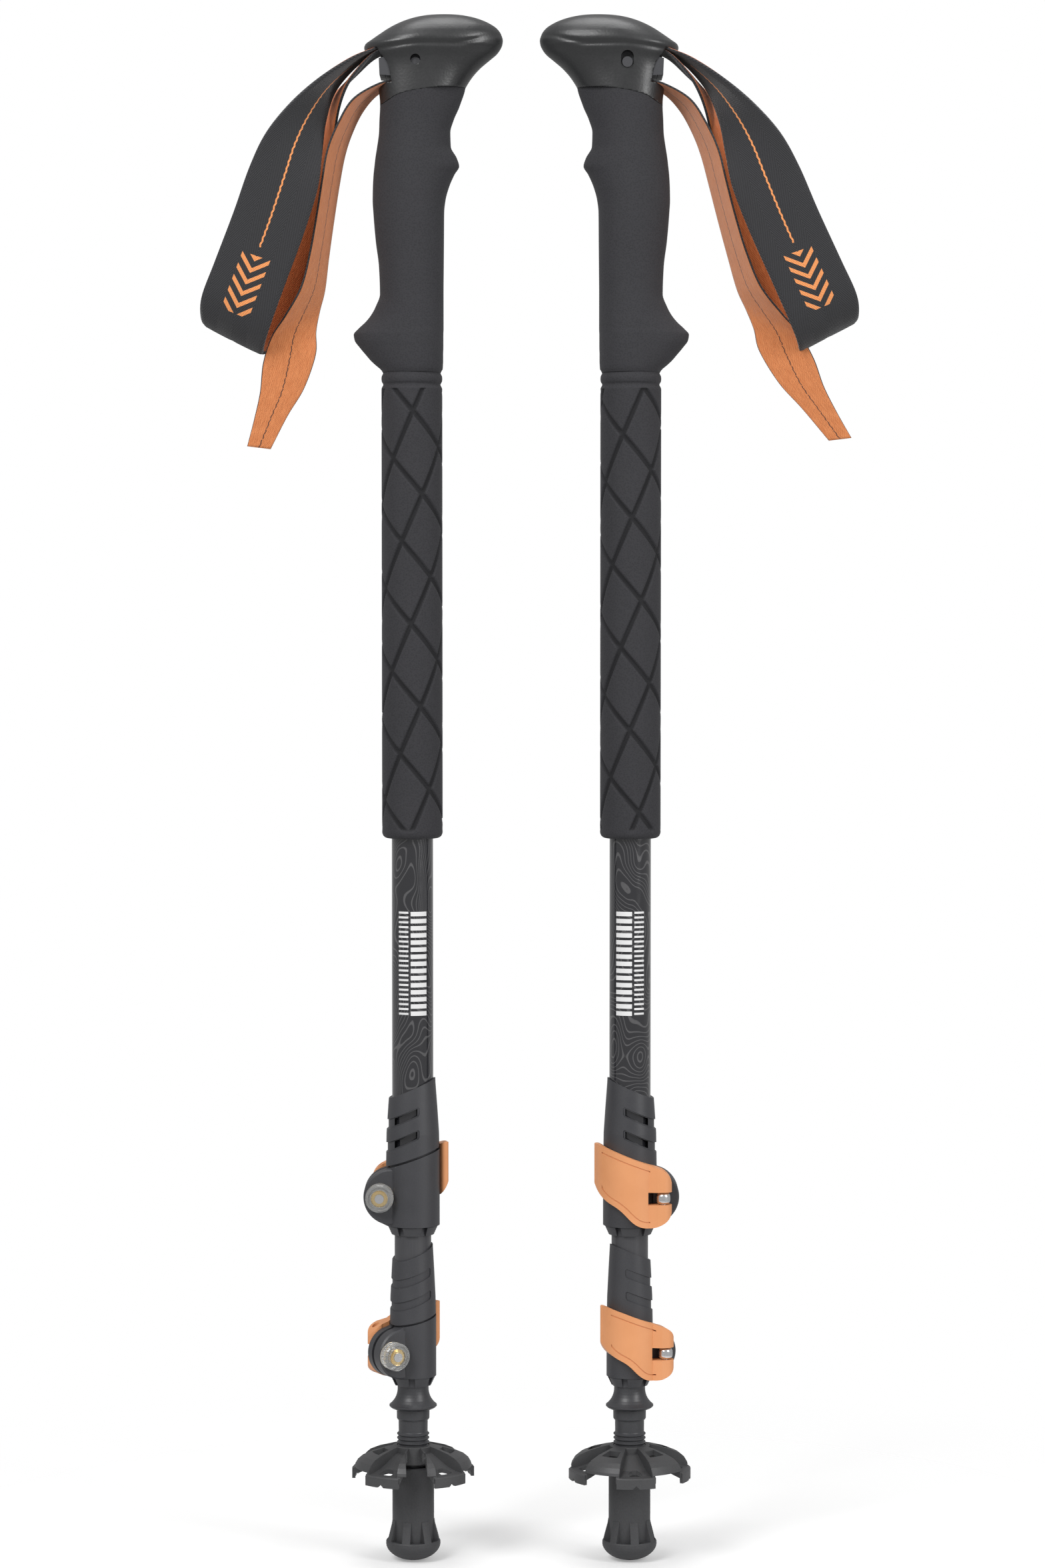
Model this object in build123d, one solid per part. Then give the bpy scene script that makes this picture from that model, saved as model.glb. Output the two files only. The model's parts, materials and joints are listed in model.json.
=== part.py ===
from build123d import *
import math
import os
from types import SimpleNamespace

# Pair of three-section trekking poles, fully collapsed, standing upright.
# Units mm, +Z up, origin on the ground midway between the two poles.
# Each pole is built about its own axis with the wrist strap and the lock ears towards -X,
# the nose of the head towards +X and the thumb nuts towards -Y.
# The right pole is the same pole turned half round; only its lower lock is turned differently.

# ------------------------------------------------------------------ driving dimensions
POLE_SPACING = 95.0                          # between the two pole axes
LOWER_LOCK_TURN = {"left": 28.0, "right": 15.0}    # degrees about Z
RUN = 0.05                                   # radial running clearance

UPPER_OD, UPPER_ID = 18.0, 16.4
MIDDLE_OD, MIDDLE_ID = 16.0, 14.4
LOWER_OD, LOWER_ID = 14.0, 12.2
UPPER_BOTTOM, UPPER_TOP = 176.0, 633.0       # ends of the upper tube
MIDDLE_BOTTOM, MIDDLE_TOP = 105.0, 622.0
LOWER_BOTTOM, LOWER_TOP = 78.0, 596.0

FOAM_BOTTOM, GRIP_BOTTOM = 317.0, 519.0      # ends of the extension foam
FOAM_R = 13.2
NECK_R, NECK_BOTTOM = 10.4, 560.0            # neck of the head, inside the grip foam

STRAP_PIN_X, STRAP_PIN_Z, STRAP_PIN_R = 2.0, 651.2, 2.25

THREAD_OD, THREAD_ROOT, THREAD_PITCH = 14.1, 12.9, 1.85
THREAD_TOP, THREAD_TURNS = 56.0, 7
CARBIDE_R = 1.6                              # shank of the carbide tip

BASKET_NOTCH = -85.0                         # direction of the open notch, degrees
BASKET_PITCH = 72.0                          # between neighbouring panels of one level
PANEL_HALF = 18.0                            # half angle of a panel


# ------------------------------------------------------------------ helpers
def cylinder(radius, z0, z1):
    return Pos(0, 0, (z0 + z1) / 2) * Cylinder(radius, z1 - z0)


def cylinder_y(radius, x, z, y0, y1):
    return Pos(x, (y0 + y1) / 2, z) * (Rot(90, 0, 0) * Cylinder(radius, y1 - y0))


def box(x0, x1, y0, y1, z0, z1):
    return Pos((x0 + x1) / 2, (y0 + y1) / 2, (z0 + z1) / 2) * Box(x1 - x0, y1 - y0, z1 - z0)


def turned(outline):
    """Solid of revolution about Z from a closed (radius, z) outline."""
    return revolve(Plane.XZ * Polygon(*outline, align=None), Axis.Z, 360)


def slab_xz(outline, y0, y1):
    """Prism with an (x, z) outline between y0 and y1."""
    face = Plane.XZ * Polygon(*outline, align=None)
    return Pos(0, (y0 + y1) / 2, 0) * extrude(face, amount=(y1 - y0) / 2, both=True)


def slab_xy(outline, z0, z1):
    """Prism with an (x, y) outline between z0 and z1."""
    face = Polygon(*outline, align=None)
    return Pos(0, 0, (z0 + z1) / 2) * extrude(face, amount=(z1 - z0) / 2, both=True)


def polar(radius, degrees):
    angle = math.radians(degrees)
    return radius * math.cos(angle), radius * math.sin(angle)


def sector(start, end, z0, z1, steps):
    """Pie slice about Z between two angles in degrees."""
    arc = [polar(40.0, start + (end - start) * i / steps) for i in range(steps + 1)]
    return slab_xy([(0, 0)] + arc, z0, z1)


def tube(outer_d, inner_d, z0, z1):
    return one(cylinder(outer_d / 2, z0, z1) - cylinder(inner_d / 2, z0 - 1, z1 + 1))


def one(shape):
    """The largest solid of the shape, without any slivers."""
    return max(shape.solids(), key=lambda solid: solid.volume)


def station(rows, z):
    """Values at height z from rows (z, a, b, ...), by monotone cubic interpolation."""
    rows = sorted(rows)
    if z <= rows[0][0]:
        return rows[0][1:]
    if z >= rows[-1][0]:
        return rows[-1][1:]
    low = max(i for i in range(len(rows) - 1) if rows[i][0] <= z)
    step = rows[low + 1][0] - rows[low][0]
    t = (z - rows[low][0]) / step

    def slope(i, column):
        if i <= 0 or i >= len(rows) - 1:
            return 0.0
        before, here, after = rows[i - 1], rows[i], rows[i + 1]
        down = (here[column] - before[column]) / (here[0] - before[0])
        up = (after[column] - here[column]) / (after[0] - here[0])
        return 0.0 if down * up <= 0 else 2 * down * up / (down + up)

    return tuple(
        (2 * t ** 3 - 3 * t ** 2 + 1) * rows[low][column]
        + (t ** 3 - 2 * t ** 2 + t) * step * slope(low, column)
        + (-2 * t ** 3 + 3 * t ** 2) * rows[low + 1][column]
        + (t ** 3 - t ** 2) * step * slope(low + 1, column)
        for column in range(1, len(rows[0])))


def egg(z, back, front, half_width, nose=0.0):
    """Closed smooth section at height z from x=back to x=front, narrowed towards the front."""
    middle, reach = (back + front) / 2, (front - back) / 2
    count = 16
    points = []
    for i in range(count):
        cos, sin = polar(1.0, 360 * i / count)
        points.append((middle + reach * cos, half_width * sin * (1 - nose * cos), z))
    return Wire([Spline(*points, periodic=True)])


def egg_loft(rows, heights):
    return Solid.make_loft([egg(z, *station(rows, z)) for z in heights], False)


# ------------------------------------------------------------------ head
# z, back x, front x, half width, nose sharpening
HEAD_ROWS = [
    (630.0, -13.6, 19.0, 14.4, 0.00),
    (635.0, -13.6, 20.6, 14.6, 0.02),
    (641.0, -14.2, 23.0, 14.9, 0.05),
    (645.9, -15.2, 26.2, 15.2, 0.08),
    (650.0, -16.4, 29.8, 15.6, 0.11),
    (653.4, -18.4, 34.2, 16.2, 0.14),
    (656.3, -20.4, 37.8, 16.8, 0.17),
    (659.2, -20.2, 39.2, 17.2, 0.18),
    (662.0, -17.0, 39.4, 17.0, 0.18),
    (664.5, -13.6, 38.6, 16.2, 0.18),
    (667.0, -10.0, 37.0, 14.8, 0.18),
    (669.4, -5.4, 33.4, 12.4, 0.16),
    (671.2, -0.6, 29.0, 9.8, 0.12),
    (672.4, 4.4, 24.4, 7.0, 0.08),
    (673.0, 9.4, 19.6, 4.0, 0.0),
]
# heights of the lofted sections
HEAD_SECTIONS = [630, 633, 636, 639, 642, 645, 648, 651, 653.5, 656, 658.5, 661, 663.5, 666,
                 668.2, 670, 671.4, 672.4, 673.0]
# underside of the head = top of the grip foam, as an (x, z) curve
SEAT = [(-40, 632.0), (-13, 634.3), (-5.7, 637.7), (3.1, 639.7), (12, 641.0), (23.3, 641.6),
        (45, 642.0)]
# strap channel, (x, z)
CHANNEL = [(-30, 641.8), (-10, 643.2), (6, 644.2), (11.5, 646.8), (12.5, 653), (11.0, 659.2),
           (5, 662.4), (-6, 661.8), (-14, 658.2), (-30, 657.0)]
# strap wedge, (x, z)
WEDGE = [(-13.5, 646.2), (-6, 645.7), (4.5, 646.2), (7.6, 648.6), (8.0, 652.2), (6.6, 655.6),
         (2.5, 657.0), (-6, 655.6), (-13.8, 653.2)]


def below_seat():
    """Everything under the seat curve, down to below the grip foam."""
    corners = [SEAT[-1], (45, 500), (-40, 500), SEAT[0]]
    sides = [Line(corners[i], corners[i + 1]) for i in range(3)]
    face = Plane.XZ * Face(Wire([Spline(*SEAT)] + sides))
    return extrude(face, amount=30, both=True)


def pin_slot(y0, y1):
    """Upright oval slot for the strap pin."""
    radius, low, high = 2.75, 651.7, 653.4
    return (cylinder_y(radius, STRAP_PIN_X, high, y0, y1)
            + cylinder_y(radius, STRAP_PIN_X, low, y0, y1)
            + box(STRAP_PIN_X - radius, STRAP_PIN_X + radius, y0, y1, low, high))


def grip_head():
    head = egg_loft(HEAD_ROWS, HEAD_SECTIONS) - below_seat()
    # neck over the upper tube
    neck = cylinder(NECK_R, NECK_BOTTOM, 646)
    neck = neck - cylinder(UPPER_OD / 2, NECK_BOTTOM - 1, UPPER_TOP)
    head = head + neck
    # channel for the strap and its wedge, open to the back
    head = head - slab_xz(CHANNEL, -11.6, 11.6)
    # oval slot out through the +Y side, blind on the -Y side with a round hole beyond
    head = head - pin_slot(10, 25)
    head = head - pin_slot(-14, -10)
    head = head - cylinder_y(2.2, STRAP_PIN_X, 652.6, -25, -10)
    return one(head)


def strap_wedge():
    wedge = slab_xz(WEDGE, -11.2, 11.2)
    wedge = wedge - cylinder_y(STRAP_PIN_R, STRAP_PIN_X, STRAP_PIN_Z, -20, 20)
    # V grooves across the lower face
    for i in range(5):
        wedge = wedge - (Pos(-11 + 3 * i, 0, 645.6) * (Rot(0, 45, 0) * Box(0.9, 40, 0.9)))
    return one(wedge)


def strap_pin():
    return one(cylinder_y(STRAP_PIN_R, STRAP_PIN_X, STRAP_PIN_Z, -13.2, 15.4))


# ------------------------------------------------------------------ foam
# z, back x, front x, half width
GRIP_ROWS = [
    (519.0, -12.6, 12.6, 12.6), (520.6, -13.7, 13.4, 13.3), (522.0, -15.4, 13.5, 13.6),
    (524.0, -17.6, 13.6, 13.9), (527.0, -20.2, 13.6, 14.2), (530.0, -22.7, 13.7, 14.3),
    (533.0, -24.7, 13.7, 14.4), (535.5, -25.2, 13.7, 14.4), (538.0, -23.2, 13.8, 14.2),
    (541.0, -20.0, 13.8, 14.0), (544.0, -17.6, 13.8, 13.8), (547.5, -15.7, 13.8, 13.7),
    (553.0, -13.8, 13.8, 13.6), (564.5, -14.2, 13.9, 13.8), (576.0, -15.6, 14.0, 14.2),
    (588.0, -16.6, 14.1, 14.6), (593.5, -16.9, 14.7, 14.7), (599.0, -16.8, 16.2, 14.8),
    (604.5, -16.5, 18.6, 14.7), (608.0, -16.1, 20.5, 14.6), (611.5, -15.7, 19.6, 14.5),
    (616.5, -14.9, 17.0, 14.3), (622.5, -14.1, 16.8, 14.2), (628.0, -13.9, 18.3, 14.3),
    (634.0, -13.6, 20.9, 14.6), (642.0, -13.6, 23.3, 14.9),
]
# heights of the lofted sections
GRIP_SECTIONS = [519, 520.6, 522.4, 525, 528, 531, 534, 536.5, 539, 542, 545, 548.5, 553, 559,
                 566, 574, 582, 590, 595, 600, 604.5, 608, 611.5, 616, 621, 626, 631, 636, 642.5]
# extension foam, (radius, z)
EXTENSION = [
    (UPPER_OD / 2, FOAM_BOTTOM), (FOAM_R - 2.4, FOAM_BOTTOM), (FOAM_R - 1.1, FOAM_BOTTOM + 0.45),
    (FOAM_R - 0.35, FOAM_BOTTOM + 1.3), (FOAM_R, FOAM_BOTTOM + 2.6), (FOAM_R, 512.0),
    (FOAM_R - 0.35, 512.9), (12.55, 513.5), (12.55, 514.2), (12.95, 514.9), (13.15, 516.4),
    (12.95, 517.8), (12.6, 518.5), (12.6, GRIP_BOTTOM), (UPPER_OD / 2, GRIP_BOTTOM),
]
# slanted grooves: rise from x=-17 to x=+17, middle heights
GROOVES = [(-42.0, [474, 443, 412, 381, 350]), (62.0, [374, 418, 462])]
GROOVE_WIDTH, GROOVE_DEPTH, GROOVE_REACH = 3.0, 0.45, 17


def grip_foam():
    foam = egg_loft(GRIP_ROWS, GRIP_SECTIONS)
    foam = foam & below_seat()
    foam = foam - cylinder(NECK_R, NECK_BOTTOM, 660)
    foam = foam - cylinder(UPPER_OD / 2, 510, NECK_BOTTOM + 1)
    return one(foam)


def extension_foam():
    foam = turned(EXTENSION)
    # crossing shallow grooves on the -Y and the +Y side
    half = GROOVE_WIDTH / 2
    for rise, heights in GROOVES:
        for z in heights:
            z0, z1 = z - rise / 2, z + rise / 2
            outline = [(-GROOVE_REACH, z0 - half), (GROOVE_REACH, z1 - half),
                       (GROOVE_REACH, z1 + half), (-GROOVE_REACH, z0 + half)]
            for y0, y1 in ((-20, 0), (0, 20)):
                groove = slab_xz(outline, y0, y1)
                foam = foam - (groove - cylinder(FOAM_R - GROOVE_DEPTH, 300, 520))
    return one(foam)


# ------------------------------------------------------------------ locks
# Pairs of heights are for a slanted plane at x=+12 (nose side) and x=-12 (ear side).
UPPER_LOCK = SimpleNamespace(
    outer_tube_r=UPPER_OD / 2, inner_bore_r=MIDDLE_OD / 2 + RUN, tube_end=UPPER_BOTTOM,
    # sleeve: (radius, z) outline, slanted top and bottom, collet and end ring below it
    profile=[(9.75, 216.0), (9.95, 210.0), (10.7, 200.0), (11.5, 188.0), (11.8, 170.0)],
    top=(213.0, 202.5), bottom=(182.0, 173.4), collet_r=10.2,
    ring=[(9.3, 143.4), (10.9, 147.0), (10.9, 147.5)],
    # slanted windows: height of the upper edge at the first x of window_x
    window_tops=(195.5, 185.6), window_height=4.2, window_slope=0.459, window_x=(-7.7, 3.2),
    window_depth=0.65, window_open=True,
    # band, ears and bolt
    band_r=11.75, band_bottom=147.5, band_gap=1.0, bolt_x=-14.3, bolt_z=160.5,
    ear_r=12.2, ear_x=-9.2, ear_lever_y=6.0, ear_nut_y=-8.0,
    # lever and nut
    lever_scale=1.0, lever_in=12.1, lever_out=15.4, nut_r=6.2)
LOWER_LOCK = SimpleNamespace(
    outer_tube_r=MIDDLE_OD / 2, inner_bore_r=LOWER_OD / 2 + RUN, tube_end=MIDDLE_BOTTOM,
    profile=[(8.6, 143.0), (8.75, 138.0), (9.3, 128.0), (9.9, 116.0), (10.2, 100.0)],
    top=(140.5, 130.5), bottom=(109.5, 103.5), collet_r=8.8,
    ring=[(7.9, 76.8), (9.6, 80.4), (9.6, 81.0)],
    window_tops=(125.0, 115.2), window_height=3.9, window_slope=0.40, window_x=(-6.6, 4.4),
    window_depth=0.6, window_open=False,
    band_r=10.15, band_bottom=81.0, band_gap=0.9, bolt_x=-13.4, bolt_z=91.8,
    ear_r=10.9, ear_x=-8.7, ear_lever_y=5.6, ear_nut_y=-7.0,
    lever_scale=0.9, lever_in=10.5, lever_out=13.6, nut_r=6.1)

# side outline of the upper lever: x from the pole axis, z from the bolt
LEVER_TOP = [(15.9, 22.9), (14.6, 23.1), (12.6, 22.5), (6.0, 20.1), (0.0, 17.8), (-6.0, 15.5),
             (-11.0, 13.6)]
LEVER_END = [(-11.0, 13.6), (-14.6, 12.0), (-17.1, 9.4), (-18.2, 5.6), (-18.4, 0.2),
             (-18.2, -5.4), (-16.9, -8.8), (-13.4, -11.6), (-9.2, -12.8)]
LEVER_BOTTOM = [(-9.2, -12.8), (-5.8, -12.6), (-2.6, -11.4), (0.6, -8.8), (3.4, -6.0),
                (6.4, -3.7), (9.6, -1.9), (12.4, 0.2), (14.6, 3.0), (15.9, 6.2)]
LEVER_FRONT, LEVER_BACK = 15.9, 18.4         # reach of the outline to +X and to -X
LEVER_START, LEVER_STOP = 8, 128             # angles of the shell, degrees
TAB_R = 1.75
PIVOT_OFFSET = 4.2                           # pivot beyond the lever-side ear face
PIVOT_R = 1.5
SLOT_HALF = 1.0                              # half width of the collet and band slots
NUT_LENGTH = 5.2


def slanted(heights, up):
    """Half space above (up) or below the plane through the heights at x=+12 and x=-12."""
    nose, ear = heights
    middle, rise = (nose + ear) / 2, 40 * (nose - ear) / 24.0
    far = 400 if up else -400
    return slab_xz([(-40, middle - rise), (40, middle + rise), (40, middle + rise + far),
                    (-40, middle - rise + far)], -40, 40)


def cut_window(sleeve, lock, top):
    """Cut one slanted window recess, and its opening if it has one."""
    x0, x1 = lock.window_x
    height = lock.window_height

    def edge(x):
        return top + lock.window_slope * (x - x0)

    corner = x1 - 0.6
    recess = [(-30, edge(-30) - height), (corner, edge(corner) - height),
              (x1, edge(x1) - height + 0.8), (x1, edge(x1) - 0.8), (corner, edge(corner)),
              (-30, edge(-30))]
    radius = station([(z, r) for r, z in lock.profile], edge(-8) - height / 2)[0]
    core = cylinder(radius - lock.window_depth, lock.band_bottom, 260)
    sleeve = sleeve - (slab_xz(recess, -30, 30) - core)
    if lock.window_open:
        x2 = x1 - 0.9
        opening = [(x0, edge(x0) - height + 0.5), (x2, edge(x2) - height + 0.5),
                   (x2, edge(x2) - 0.5), (x0, edge(x0) - 0.5)]
        sleeve = sleeve - slab_xz(opening, -30, 30)
    return sleeve


def lock_sleeve(lock):
    """Sleeve on the outer tube with a slotted collet and a notched end ring."""
    profile, ring = lock.profile, lock.ring
    ring_bottom, ring_top = ring[0][1], ring[-1][1]
    sleeve = turned([(0.0, profile[-1][1]), (0.0, profile[0][1])] + profile)
    sleeve = sleeve - slanted(lock.top, True) - slanted(lock.bottom, False)
    collet = cylinder(lock.collet_r, lock.band_bottom, lock.tube_end + 6)
    sleeve = sleeve + collet + turned([(0, ring_bottom)] + ring + [(0, ring_top)])
    sleeve = sleeve - cylinder(lock.outer_tube_r, lock.tube_end, lock.top[0] + 20)
    sleeve = sleeve - cylinder(lock.inner_bore_r, ring_bottom - 1, lock.tube_end + 1)
    # collet slot on the ear side
    sleeve = sleeve - box(-20, 0, -SLOT_HALF, SLOT_HALF, ring_bottom - 1, lock.tube_end - 8)
    for i in range(6):
        notch = box(lock.inner_bore_r + 0.5, 16, -1.35, 1.35, ring_bottom - 1, ring_top)
        sleeve = sleeve - Rot(0, 0, 60 * i) * notch
    for top in lock.window_tops:
        sleeve = cut_window(sleeve, lock, top)
    return one(sleeve)


def lock_band(lock):
    """Clamp band round the collet, with two ears."""
    x, z, bottom = lock.bolt_x, lock.bolt_z, lock.band_bottom
    nut_y, lever_y = lock.ear_nut_y, lock.ear_lever_y
    top = [height - lock.band_gap for height in lock.bottom]
    bevel = 0.7
    band = cylinder(lock.band_r, bottom, top[0] + 6)
    ear = cylinder_y(lock.ear_r, lock.ear_x, z, nut_y, lever_y)
    ear = chamfer(ear.edges().filter_by(GeomType.CIRCLE), bevel)
    ear = ear & box(-40, -2, -20, 20, bottom, z + lock.ear_r + 1)
    web_x, web_z = lock.ear_x - lock.ear_r * 0.5, lock.ear_r * 0.864
    web = slab_xz([(web_x, z + web_z), (-2, top[1] + 3.2), (-2, bottom),
                   (lock.ear_x - 1.0, bottom), (web_x, z - web_z)],
                  nut_y + bevel, lever_y - bevel)
    ear = ear + web
    band = (band + ear) - slanted(top, True) - cylinder(lock.collet_r, bottom - 5, 260)
    band = band - box(-40, -2, -SLOT_HALF, SLOT_HALF, bottom - 5, 260)
    # bolt hole and flat round seat for the thumb nut
    band = band - cylinder_y(2.15, x, z, -20, 20)
    band = band - cylinder_y(lock.nut_r + 0.4, x, z, -30, nut_y)
    return one(band)


def smooth(points):
    """Catmull-Rom curve through the points, five steps to a span."""
    (xa, za), (xb, zb) = points[:2]
    (xc, zc), (xd, zd) = points[-2:]
    ends = [(2 * xa - xb, 2 * za - zb)] + list(points) + [(2 * xd - xc, 2 * zd - zc)]
    curve = []
    for i in range(1, len(ends) - 2):
        for step in range(5):
            t = step / 5
            curve.append(tuple(
                0.5 * (2 * here + (after - before) * t
                       + (2 * before - 5 * here + 4 * after - last) * t * t
                       + (-before + 3 * here - 3 * after + last) * t ** 3)
                for before, here, after, last in zip(*ends[i - 1:i + 3])))
    curve.append(tuple(points[-1]))
    return curve


def offset_left(points, distance):
    """An open (x, z) line moved sideways, to the left of its direction."""
    moved = []
    for i, (x, z) in enumerate(points):
        x0, z0 = points[max(i - 1, 0)]
        x1, z1 = points[min(i + 1, len(points) - 1)]
        scale = distance / math.hypot(x1 - x0, z1 - z0)
        moved.append((x - scale * (z1 - z0), z + scale * (x1 - x0)))
    return moved


def at_pivot(lock, radius, height):
    """Upright cylinder centred on the lever pivot."""
    return Pos(lock.bolt_x, lock.ear_lever_y + PIVOT_OFFSET, lock.bolt_z) * Cylinder(radius, height)


def lock_lever(lock):
    """Shell wrapped round the +Y side, with a cam round the pivot and a tab at the nose side."""
    x, z, scale = lock.bolt_x, lock.bolt_z, lock.lever_scale
    inner, outer = lock.lever_in, lock.lever_out
    pivot_y = lock.ear_lever_y + PIVOT_OFFSET
    low, high = z - 13.5 * scale, z + 24.5 * scale

    shell = cylinder(outer, low, high) & sector(LEVER_START, LEVER_STOP, low, high, 12)
    cam = Pos(x, pivot_y - 0.45, 0) * cylinder(3.75, low, high)
    bridge = slab_xy([(x, pivot_y + 3.3), (x + 2.5, pivot_y + 3.6), polar(outer, 122),
                      polar(outer, 112), polar(inner, 112),
                      (-inner * 0.78, lock.ear_lever_y + 0.5), (x, pivot_y - 3.9)], low, high)
    # rolled thumb tab at the free end
    tab_x, tab_y = polar((inner + outer) / 2 - 0.2, LEVER_START)
    tab_x += 0.4
    tab = Pos(tab_x, tab_y + 0.2, 0) * cylinder(TAB_R, low, high)
    lever = shell + bridge + cam
    lever = lever + tab
    lever = lever - cylinder(inner, low - 1, high + 1)
    lever = lever - box(-40, -6, -20, lock.ear_lever_y + 0.02, low - 1, high + 1)

    # side outline stretched to the tab in front and to the bolt behind
    reach = tab_x + TAB_R + 0.1
    stretch_front = reach / LEVER_FRONT
    stretch_back = 1 - (x - UPPER_LOCK.bolt_x) / LEVER_BACK
    top, end, bottom = (
        [(px * (stretch_front if px > 0 else stretch_back), z + pz * scale) for px, pz in row]
        for row in (LEVER_TOP, LEVER_END, LEVER_BOTTOM))
    wire = Wire([Spline(*top), Spline(*end), Spline(*bottom), Line(bottom[-1], top[0])])
    lever = lever & extrude(Plane.XZ * Face(wire), amount=40, both=True)
    lever = lever - box(-60, 60, -60, -5, low - 5, high + 5)

    # fine groove inside the upper and the lower edge
    skin = cylinder(outer + 6, low - 2, high + 2) - cylinder(outer - 0.3, low - 3, high + 3)
    for row in (smooth(top), smooth(bottom)):
        outline = offset_left(row, 2.3) + offset_left(row, 2.8)[::-1]
        groove = slab_xz(outline, 0, 40) & box(-8.5, reach - 3.2, 0, 40, low, high)
        lever = lever - (groove & skin)
    # fork slot for the bolt eye, pin hole
    lever = lever - box(-40, x + 6.6, -5, 40, z - 2.75, z + 2.75)
    lever = lever - at_pivot(lock, PIVOT_R + 0.05, 80)
    return one(lever)


def lock_barrel(lock):
    """Pivot pin of the lever."""
    return one(at_pivot(lock, PIVOT_R, 15.0 * lock.lever_scale))


def lock_bolt(lock):
    """Eye bolt from the pivot pin out through the thumb nut."""
    eye = at_pivot(lock, 3.15, 5.2)
    eye = fillet(eye.edges().filter_by(GeomType.CIRCLE), 1.9)
    shank_end = lock.ear_nut_y - NUT_LENGTH - 0.35
    bolt = eye + cylinder_y(2.0, lock.bolt_x, lock.bolt_z, shank_end,
                            lock.ear_lever_y + PIVOT_OFFSET)
    return one(bolt - at_pivot(lock, PIVOT_R, 80))


def fluted(body, lock, count, flute_r, circle_r, y0, y1):
    """Cut a ring of small flutes round the bolt axis."""
    for i in range(count):
        x, z = polar(circle_r, 360 * i / count)
        body = body - cylinder_y(flute_r, lock.bolt_x + x, lock.bolt_z + z, y0, y1)
    return body


def lock_nut(lock):
    """Knurled knob of the thumb nut."""
    x, z = lock.bolt_x, lock.bolt_z
    y0, y1 = lock.ear_nut_y - NUT_LENGTH, lock.ear_nut_y - 0.05
    knob = cylinder_y(lock.nut_r, x, z, y0, y1)
    circles = knob.edges().filter_by(GeomType.CIRCLE)
    knob = chamfer([edge for edge in circles if edge.center().Y < y0 + 0.1], 0.6)
    knob = fluted(knob, lock, 36, 0.28, lock.nut_r + 0.08, y0 - 1, y1 - 0.8)
    # ring groove in the outer face
    knob = knob - (cylinder_y(5.0, x, z, y0 - 1, y0 + 0.5) - cylinder_y(4.2, x, z, y0 - 1, y0 + 2))
    return one(knob - cylinder_y(3.7, x, z, y0 - 1, y1 + 1))


def lock_nut_insert(lock):
    """Stepped, fluted round insert of the thumb nut."""
    x, z = lock.bolt_x, lock.bolt_z
    y0, y1 = lock.ear_nut_y - NUT_LENGTH, lock.ear_nut_y - 0.05
    insert = (cylinder_y(3.2, x, z, y0 + 0.4, y1) + cylinder_y(3.7, x, z, y0 + 1.2, y1 - 1.2)
              + cylinder_y(2.75, x, z, y0, y0 + 0.5))
    insert = fluted(insert, lock, 18, 0.22, 3.75, y0, y1)
    return one(insert - cylinder_y(2.05, x, z, -30, 30))


LOCK_PARTS = {"sleeve": lock_sleeve, "band": lock_band, "lever": lock_lever,
              "barrel": lock_barrel, "bolt": lock_bolt, "nut": lock_nut,
              "nut_insert": lock_nut_insert}


# ------------------------------------------------------------------ inner tubes and tip
# tip ferrule above and below its thread, (radius, z)
FERRULE_TOP = [
    (0, 98), (LOWER_ID / 2, 98), (LOWER_ID / 2, LOWER_BOTTOM), (6.9, LOWER_BOTTOM), (6.8, 75.6),
    (6.85, 74.4), (7.05, 73.2), (7.45, 71.9), (8.1, 70.6), (9.0, 69.4), (9.8, 68.6),
    (10.4, 68.1), (10.4, 67.5), (9.6, 66.8), (8.2, 66.2), (7.2, 66.0), (7.15, 62.2),
    (6.9, 61.7), (6.4, 61.6), (6.35, 56.3),
]
FERRULE_BOTTOM = [(6.35, 42.6), (6.3, 24.0), (5.6, 15.5), (4.2, 11.4), (0, 11.4)]


def end_plug(tube_id, around_id, bottom, tube_top, top, bore_r):
    """Plug in the top of a tube, with a head that runs inside the tube around it."""
    radius = around_id / 2 - RUN
    plug = turned([(0, bottom), (tube_id / 2, bottom), (tube_id / 2, tube_top),
                   (radius, tube_top), (radius, top - 1.0), (radius - 1.0, top), (0, top)])
    plug = plug - cylinder(bore_r, bottom - 5, tube_top + 2)
    return one(plug - box(-20, 20, -1, 1, top - 2, top + 10))


def tip_ferrule():
    # the thread is a stack of rings
    thread = []
    for i in range(THREAD_TURNS):
        z = THREAD_TOP - i * THREAD_PITCH
        thread += [(THREAD_ROOT / 2, z), (THREAD_OD / 2, z - 0.55), (THREAD_OD / 2, z - 0.95),
                   (THREAD_ROOT / 2, z - 1.5)]
    ferrule = turned(FERRULE_TOP + thread + FERRULE_BOTTOM)
    return one(ferrule - cylinder(CARBIDE_R, 10, 20))


def carbide_tip():
    return one(turned([(0, 20), (CARBIDE_R, 20), (CARBIDE_R, 9.4), (1.9, 8.4), (1.9, 6.6),
                       (1.2, 6.6), (0.0, 7.6)]))


# ------------------------------------------------------------------ basket
# outlines are (radius, z)
HUB = [(0, 42.8), (8.7, 42.8), (8.9, 50.0), (8.4, 50.4), (0, 50.4)]
# conical panels with a turned-down rim
HIGH_PANEL = [(8.0, 50.3), (8.8, 50.3), (12.0, 49.6), (18.0, 47.9), (22.0, 46.2), (24.2, 44.4),
              (25.4, 42.4), (25.7, 41.2), (24.2, 41.0), (23.4, 42.6), (21.6, 44.2),
              (17.6, 45.9), (11.6, 47.4), (8.0, 47.6)]
# panels dished below the high ones, with a deeper skirt
LOW_PANEL = [(8.0, 47.9), (10.0, 47.4), (14.0, 45.0), (18.6, 42.3), (23.0, 40.9), (26.3, 40.5),
             (26.8, 40.0), (26.8, 35.9), (25.4, 35.9), (25.3, 38.6), (22.8, 39.3),
             (18.0, 40.6), (13.4, 43.2), (9.6, 45.6), (8.0, 45.8)]
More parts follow.
